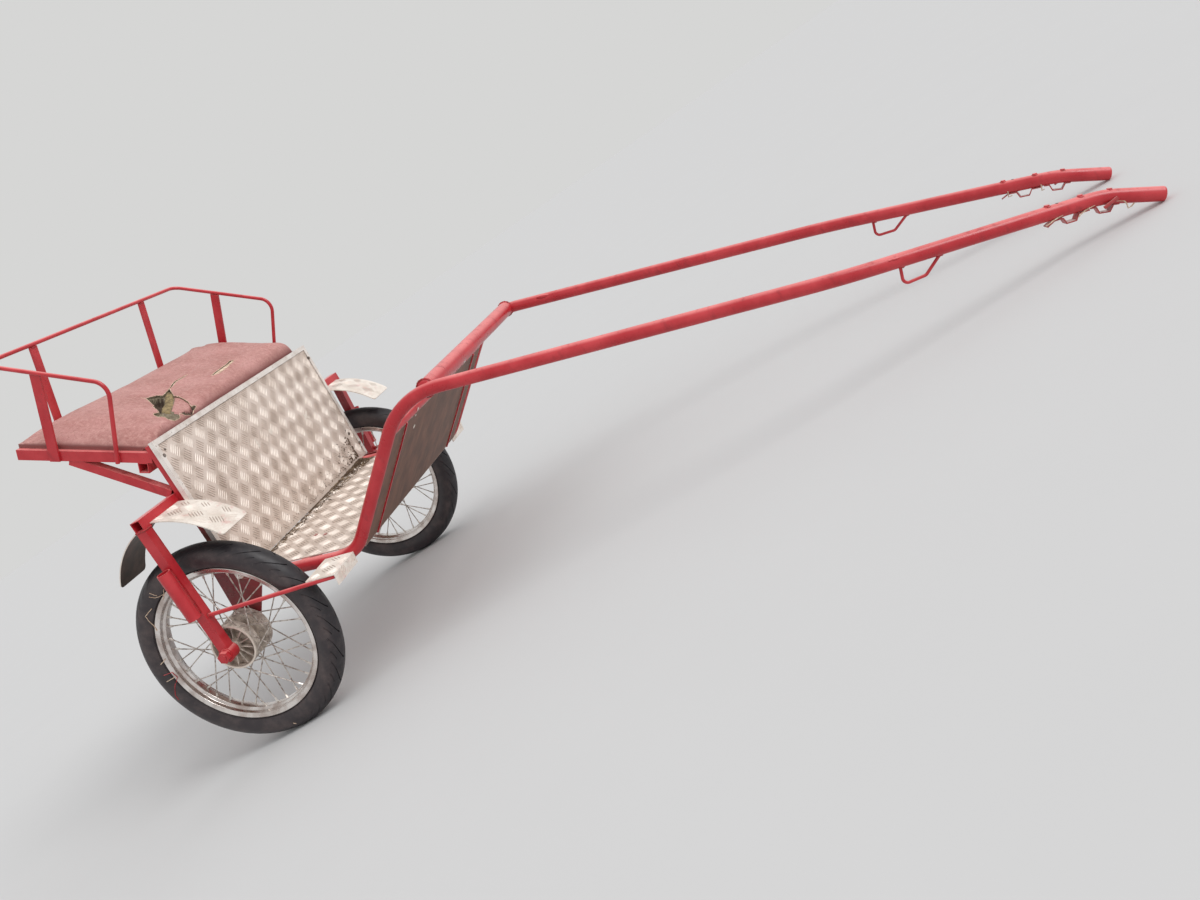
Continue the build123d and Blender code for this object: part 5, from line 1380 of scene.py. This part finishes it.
def joint_dirt():
    """Mud and chopped straw along the joint of panel and floor, in a heap at the left end."""
    chance = random.Random(MUD_SEED)
    noise.seed_set(MUD_SEED)  # noise_vector starts from the clock otherwise
    bm = bmesh.new()
    count = HEAP_STEPS
    heap = []
    for index in range(count):
        across = -SHEET_HALF_WIDTH + 8.0 + index / (count - 1) * (2 * SHEET_HALF_WIDTH - 16.0)
        spot = off_floor(SHEET_REAR_REACH + 2.0, SHEET_LIFT + 1.2)
        heap.append(parked(spot[0] + chance.uniform(-1.0, 1.0), across, spot[1] + chance.uniform(-0.6, 0.6)))
    sizes = [chance.uniform(0.5, 1.3) * (0.7 + 2.4 * (i / count) ** 3) for i in range(count)]
    rod_along(bm, heap, 3.0, 7, lambda index: sizes[index])
    for number in range(CRUMBS):
        left = chance.random() ** 2.6
        across = SHEET_HALF_WIDTH - 8.0 - 850.0 * left
        spread = 1.0 - 0.6 * left
        size = chance.uniform(0.7, 2.6) * (0.55 + 0.8 * (1.0 - left) ** 3)
        if number % 3:
            run = 2.0 + 46.0 * spread * chance.random() ** 2
            pile = 9.0 * max(0.0, 1.0 - run / 26.0) * max(0.0, 1.0 - left * 2.6) * chance.random()
            spot = sheet_place(across, run, size * 0.2 + pile)
        else:
            spot = panel_place(across, 14.0 + 95.0 * spread * chance.random() ** 2.4, size * 0.15)
        bmesh.ops.create_icosphere(bm, subdivisions=1, radius=size * MM, matrix=Matrix.Translation(spot))
    for vert in bm.verts:
        vert.co += noise.noise_vector(vert.co * 260.0) * 0.9 * MM
    make_piece("joint_mud", bm, MUD, "cart", 0.0)
    for name, finish, number_of in (("chopped_straw", STRAW, 120), ("old_straw", OLD_STRAW, 460)):
        bm = bmesh.new()
        for _ in range(number_of):
            left = chance.random() ** 2.4
            across = SHEET_HALF_WIDTH - 16.0 - 850.0 * left
            run = 2.0 + 52.0 * chance.random() ** 2.4 * (1.0 - 0.5 * left)
            turn = chance.uniform(-1.4, 1.4)
            length = chance.uniform(7.0, 28.0)
            pile = 8.0 * max(0.0, 1.0 - run / 30.0) * max(0.0, 1.0 - left * 2.4) * chance.random()
            path = []
            for step in range(4):
                off = (step / 3 - 0.5) * length
                side_bend = math.sin(step * 1.7 + turn) * 1.2
                aside = min(max(across + off * math.cos(turn) + side_bend, -SHEET_HALF_WIDTH + 6.0),
                            SHEET_HALF_WIDTH - 6.0)
                path.append(sheet_place(aside, max(1.5, run + off * math.sin(turn)),
                                        0.9 + pile + step * chance.uniform(0.0, 1.0)))
            rod_along(bm, path, STRAW_RADIUS * chance.uniform(0.6, 1.1), 5)
        make_piece(name, bm, finish, "cart", 60.0)


def edging_seam():
    """The dark line of dirt along the inner edge of the panel's angle edging."""
    bm = bmesh.new()
    inner = PANEL_HALF_WIDTH - EDGING_LEG + 3.2
    top = PANEL_LENGTH - EDGING_TOP - 0.4
    path = [panel_place(-inner, 10.0, 0.2), panel_place(-inner, top, 0.2), panel_place(inner, top, 0.2),
            panel_place(inner, 10.0, 0.2)]
    for start, end in zip(path, path[1:]):
        line = resampled([start, end], 12.0)
        chance = random.Random(len(line))
        sizes = [chance.uniform(0.5, 1.25) for _ in line]
        rod_along(bm, line, 0.9, 6, lambda index: sizes[index])
    make_piece("edging_seam_dirt", bm, DIRT_AND_HOLE_SHADE, "cart", 60.0)


def cross_tube_ends():
    """Where the cross tube is flattened in and welded to the shafts."""
    bm = bmesh.new()
    for side in (-1, 1):
        disc(bm, side_point(CROSS_TUBE_MIDDLE, side * 445.0), ACROSS * side, 23.6, 17.0, 9.0, 40)
    make_piece("cross_tube_ends", bm, RED, "cart", 60.0)


def dash_details():
    """Old paint spots on the floor, and flaked primer on the dash board's front face."""
    bm = bmesh.new()
    for spots in (((128, -275), (140, -273), (142, -262), (131, -259)),
                  ((168, -287), (179, -285), (178, -275), (167, -276))):
        flake(bm, [(across, run) for run, across in spots], sheet_place, 0.1, 1.35, 9, 1.0)
    make_piece("floor_paint_spots", bm, SOILED_RED, "cart", 30.0)
    bm = bmesh.new()
    for seed, (across, up) in enumerate(((-261, 368), (-253, 385), (-243, 325), (120, 372), (240, 380))):
        size = 5.0 + 2.0 * (seed % 3)
        spots = [(across + size * math.cos(turn), up + size * 0.7 * math.sin(turn))
                 for turn in (0.2, 1.3, 2.2, 3.4, 4.4, 5.5)]
        flake(bm, spots, front_board_place, 0.05, 0.7, seed, 0.8)
    make_piece("dash_flakes", bm, PALE_FLAKE, "cart", 30.0)


BOARD_FRONT = 14.0


def front_board_place(across, up, height):
    """A point on the dash board's front face, up from the floor corner."""
    spot = along(FLOOR_CORNER, DASH_SLOPE, up)
    spot = along(spot, DASH_SLOPE - 90.0, BOARD_FRONT + height)
    return side_point(spot, across)


# Straws and threads stuck to the near tyre's outer wall: x and z about the axle
TYRE_STRAWS = (
    ((-222, 116), (-245, 94), (-228, 42)), ((-210, -110), (-231, -120)), ((-219, 156), (-203, 151), (-180, 157)),
    ((-214, 167), (-196, 157)), ((-173, 176), (-184, 143)), ((-239, -65), (-224, -50)), ((131, -246), (138, -250)),
)
TYRE_THREADS = (((-236, -99), (-214, -94), (-201, -109), (-210, -130), (-214, -165), (-207, -179)),)


def wall_out(radius):
    """How far the tyre's wall stands out from the wheel's middle at a radius."""
    for (inner, low), (outer, high) in zip(TYRE_HALF_SECTION[3:], TYRE_HALF_SECTION[4:]):
        if low <= radius <= high:
            return inner + (outer - inner) * (radius - low) / (high - low)
    return 29.0 if radius < 242.0 else 20.0


def tyre_litter():
    chance = random.Random(5)
    for name, lines, size, finish in (("tyre_straws", TYRE_STRAWS, 1.1, BACKING),
                                      ("tyre_threads", TYRE_THREADS, 0.9, RED)):
        bm = bmesh.new()
        for line in lines:
            path = [(ax + (bx - ax) * step / 6, az + (bz - az) * step / 6)
                    for (ax, az), (bx, bz) in zip(line, line[1:]) for step in range(6)] + [line[-1]]
            points = []
            for x, z in path:
                out = wall_out(math.hypot(x, z)) + size * 0.6
                points.append(parked(x + chance.uniform(-0.6, 0.6), -HALF_TRACK - out,
                                     z + chance.uniform(-0.6, 0.6)))
            rod_along(bm, points, size, 6)
        make_piece(name, bm, finish, "wheel_right", 60.0)


weld_beads()
shaft_bolts()
tie_wires()
panel_fittings()
joint_dirt()
edging_seam()
cross_tube_ends()
dash_details()
tyre_litter()


# Light, floor and background
BACKGROUND = "#D6D6D5"
FLOOR_HALF_SIZE = 900.0
SUN_STRENGTH = 1.2
SUN_SPREAD = 30.0


def make_stage():
    """A pale floor that runs to the horizon in the background's own tone, an even sky that is brighter
    overhead, and one broad soft sun from the front."""
    bm = bmesh.new()
    bmesh.ops.create_grid(bm, x_segments=1, y_segments=1, size=FLOOR_HALF_SIZE)
    mesh = mesh_from(bm, "floor")
    floor = bpy.data.objects.new("floor", mesh)
    link(floor)
    f = Finish("pale_floor")
    grain = f.mix(f.noise(400.0, 4.0), "#CACAC9", "#CCCCCB")
    mesh.materials.append(f.close(Base_Color=grain, Roughness=1.0, Specular_IOR_Level=0.0))

    world = bpy.data.worlds.new("studio")
    world.use_nodes = True
    bpy.context.scene.world = world
    tree = world.node_tree
    tree.nodes.clear()
    seen = add_node(tree, "ShaderNodeLightPath")
    rays = [seen.outputs[name] for name in ("Is Camera Ray", "Is Glossy Ray", "Is Transmission Ray")]
    first = add_node(tree, "ShaderNodeMath", {0: rays[0], 1: rays[1]}, operation="MAXIMUM").outputs[0]
    either = add_node(tree, "ShaderNodeMath", {0: first, 1: rays[2]}, operation="MAXIMUM")
    way = add_node(tree, "ShaderNodeTexCoord").outputs["Generated"]
    zenith = level_direction(0.15, -0.1, 1.0).normalized()
    overhead = add_node(tree, "ShaderNodeVectorMath", {0: way, 1: zenith}, operation="DOT_PRODUCT").outputs["Value"]
    strength = add_node(tree, "ShaderNodeMapRange", {"Value": overhead, "From Min": -0.6, "From Max": 0.9,
                                                     "To Min": 0.5, "To Max": 1.12}).outputs[0]
    soft = add_node(tree, "ShaderNodeBackground", {"Color": linear("#F6F6F8"), "Strength": strength})
    plain = add_node(tree, "ShaderNodeBackground", {"Color": linear(BACKGROUND), "Strength": 1.0})
    both = add_node(tree, "ShaderNodeMixShader",
                    {0: either.outputs[0], 1: soft.outputs[0], 2: plain.outputs[0]})
    add_node(tree, "ShaderNodeOutputWorld", {"Surface": both.outputs[0]})

    sun = bpy.data.lights.new("soft_sun", "SUN")
    sun.energy = SUN_STRENGTH
    sun.angle = math.radians(SUN_SPREAD)
    lamp = bpy.data.objects.new("soft_sun", sun)
    lamp.rotation_euler = level_direction(-0.35, 0.2, -1.0).normalized().to_track_quat("-Z", "Y").to_euler()
    link(lamp)


make_stage()
bpy.context.scene.view_settings.view_transform = "Standard"
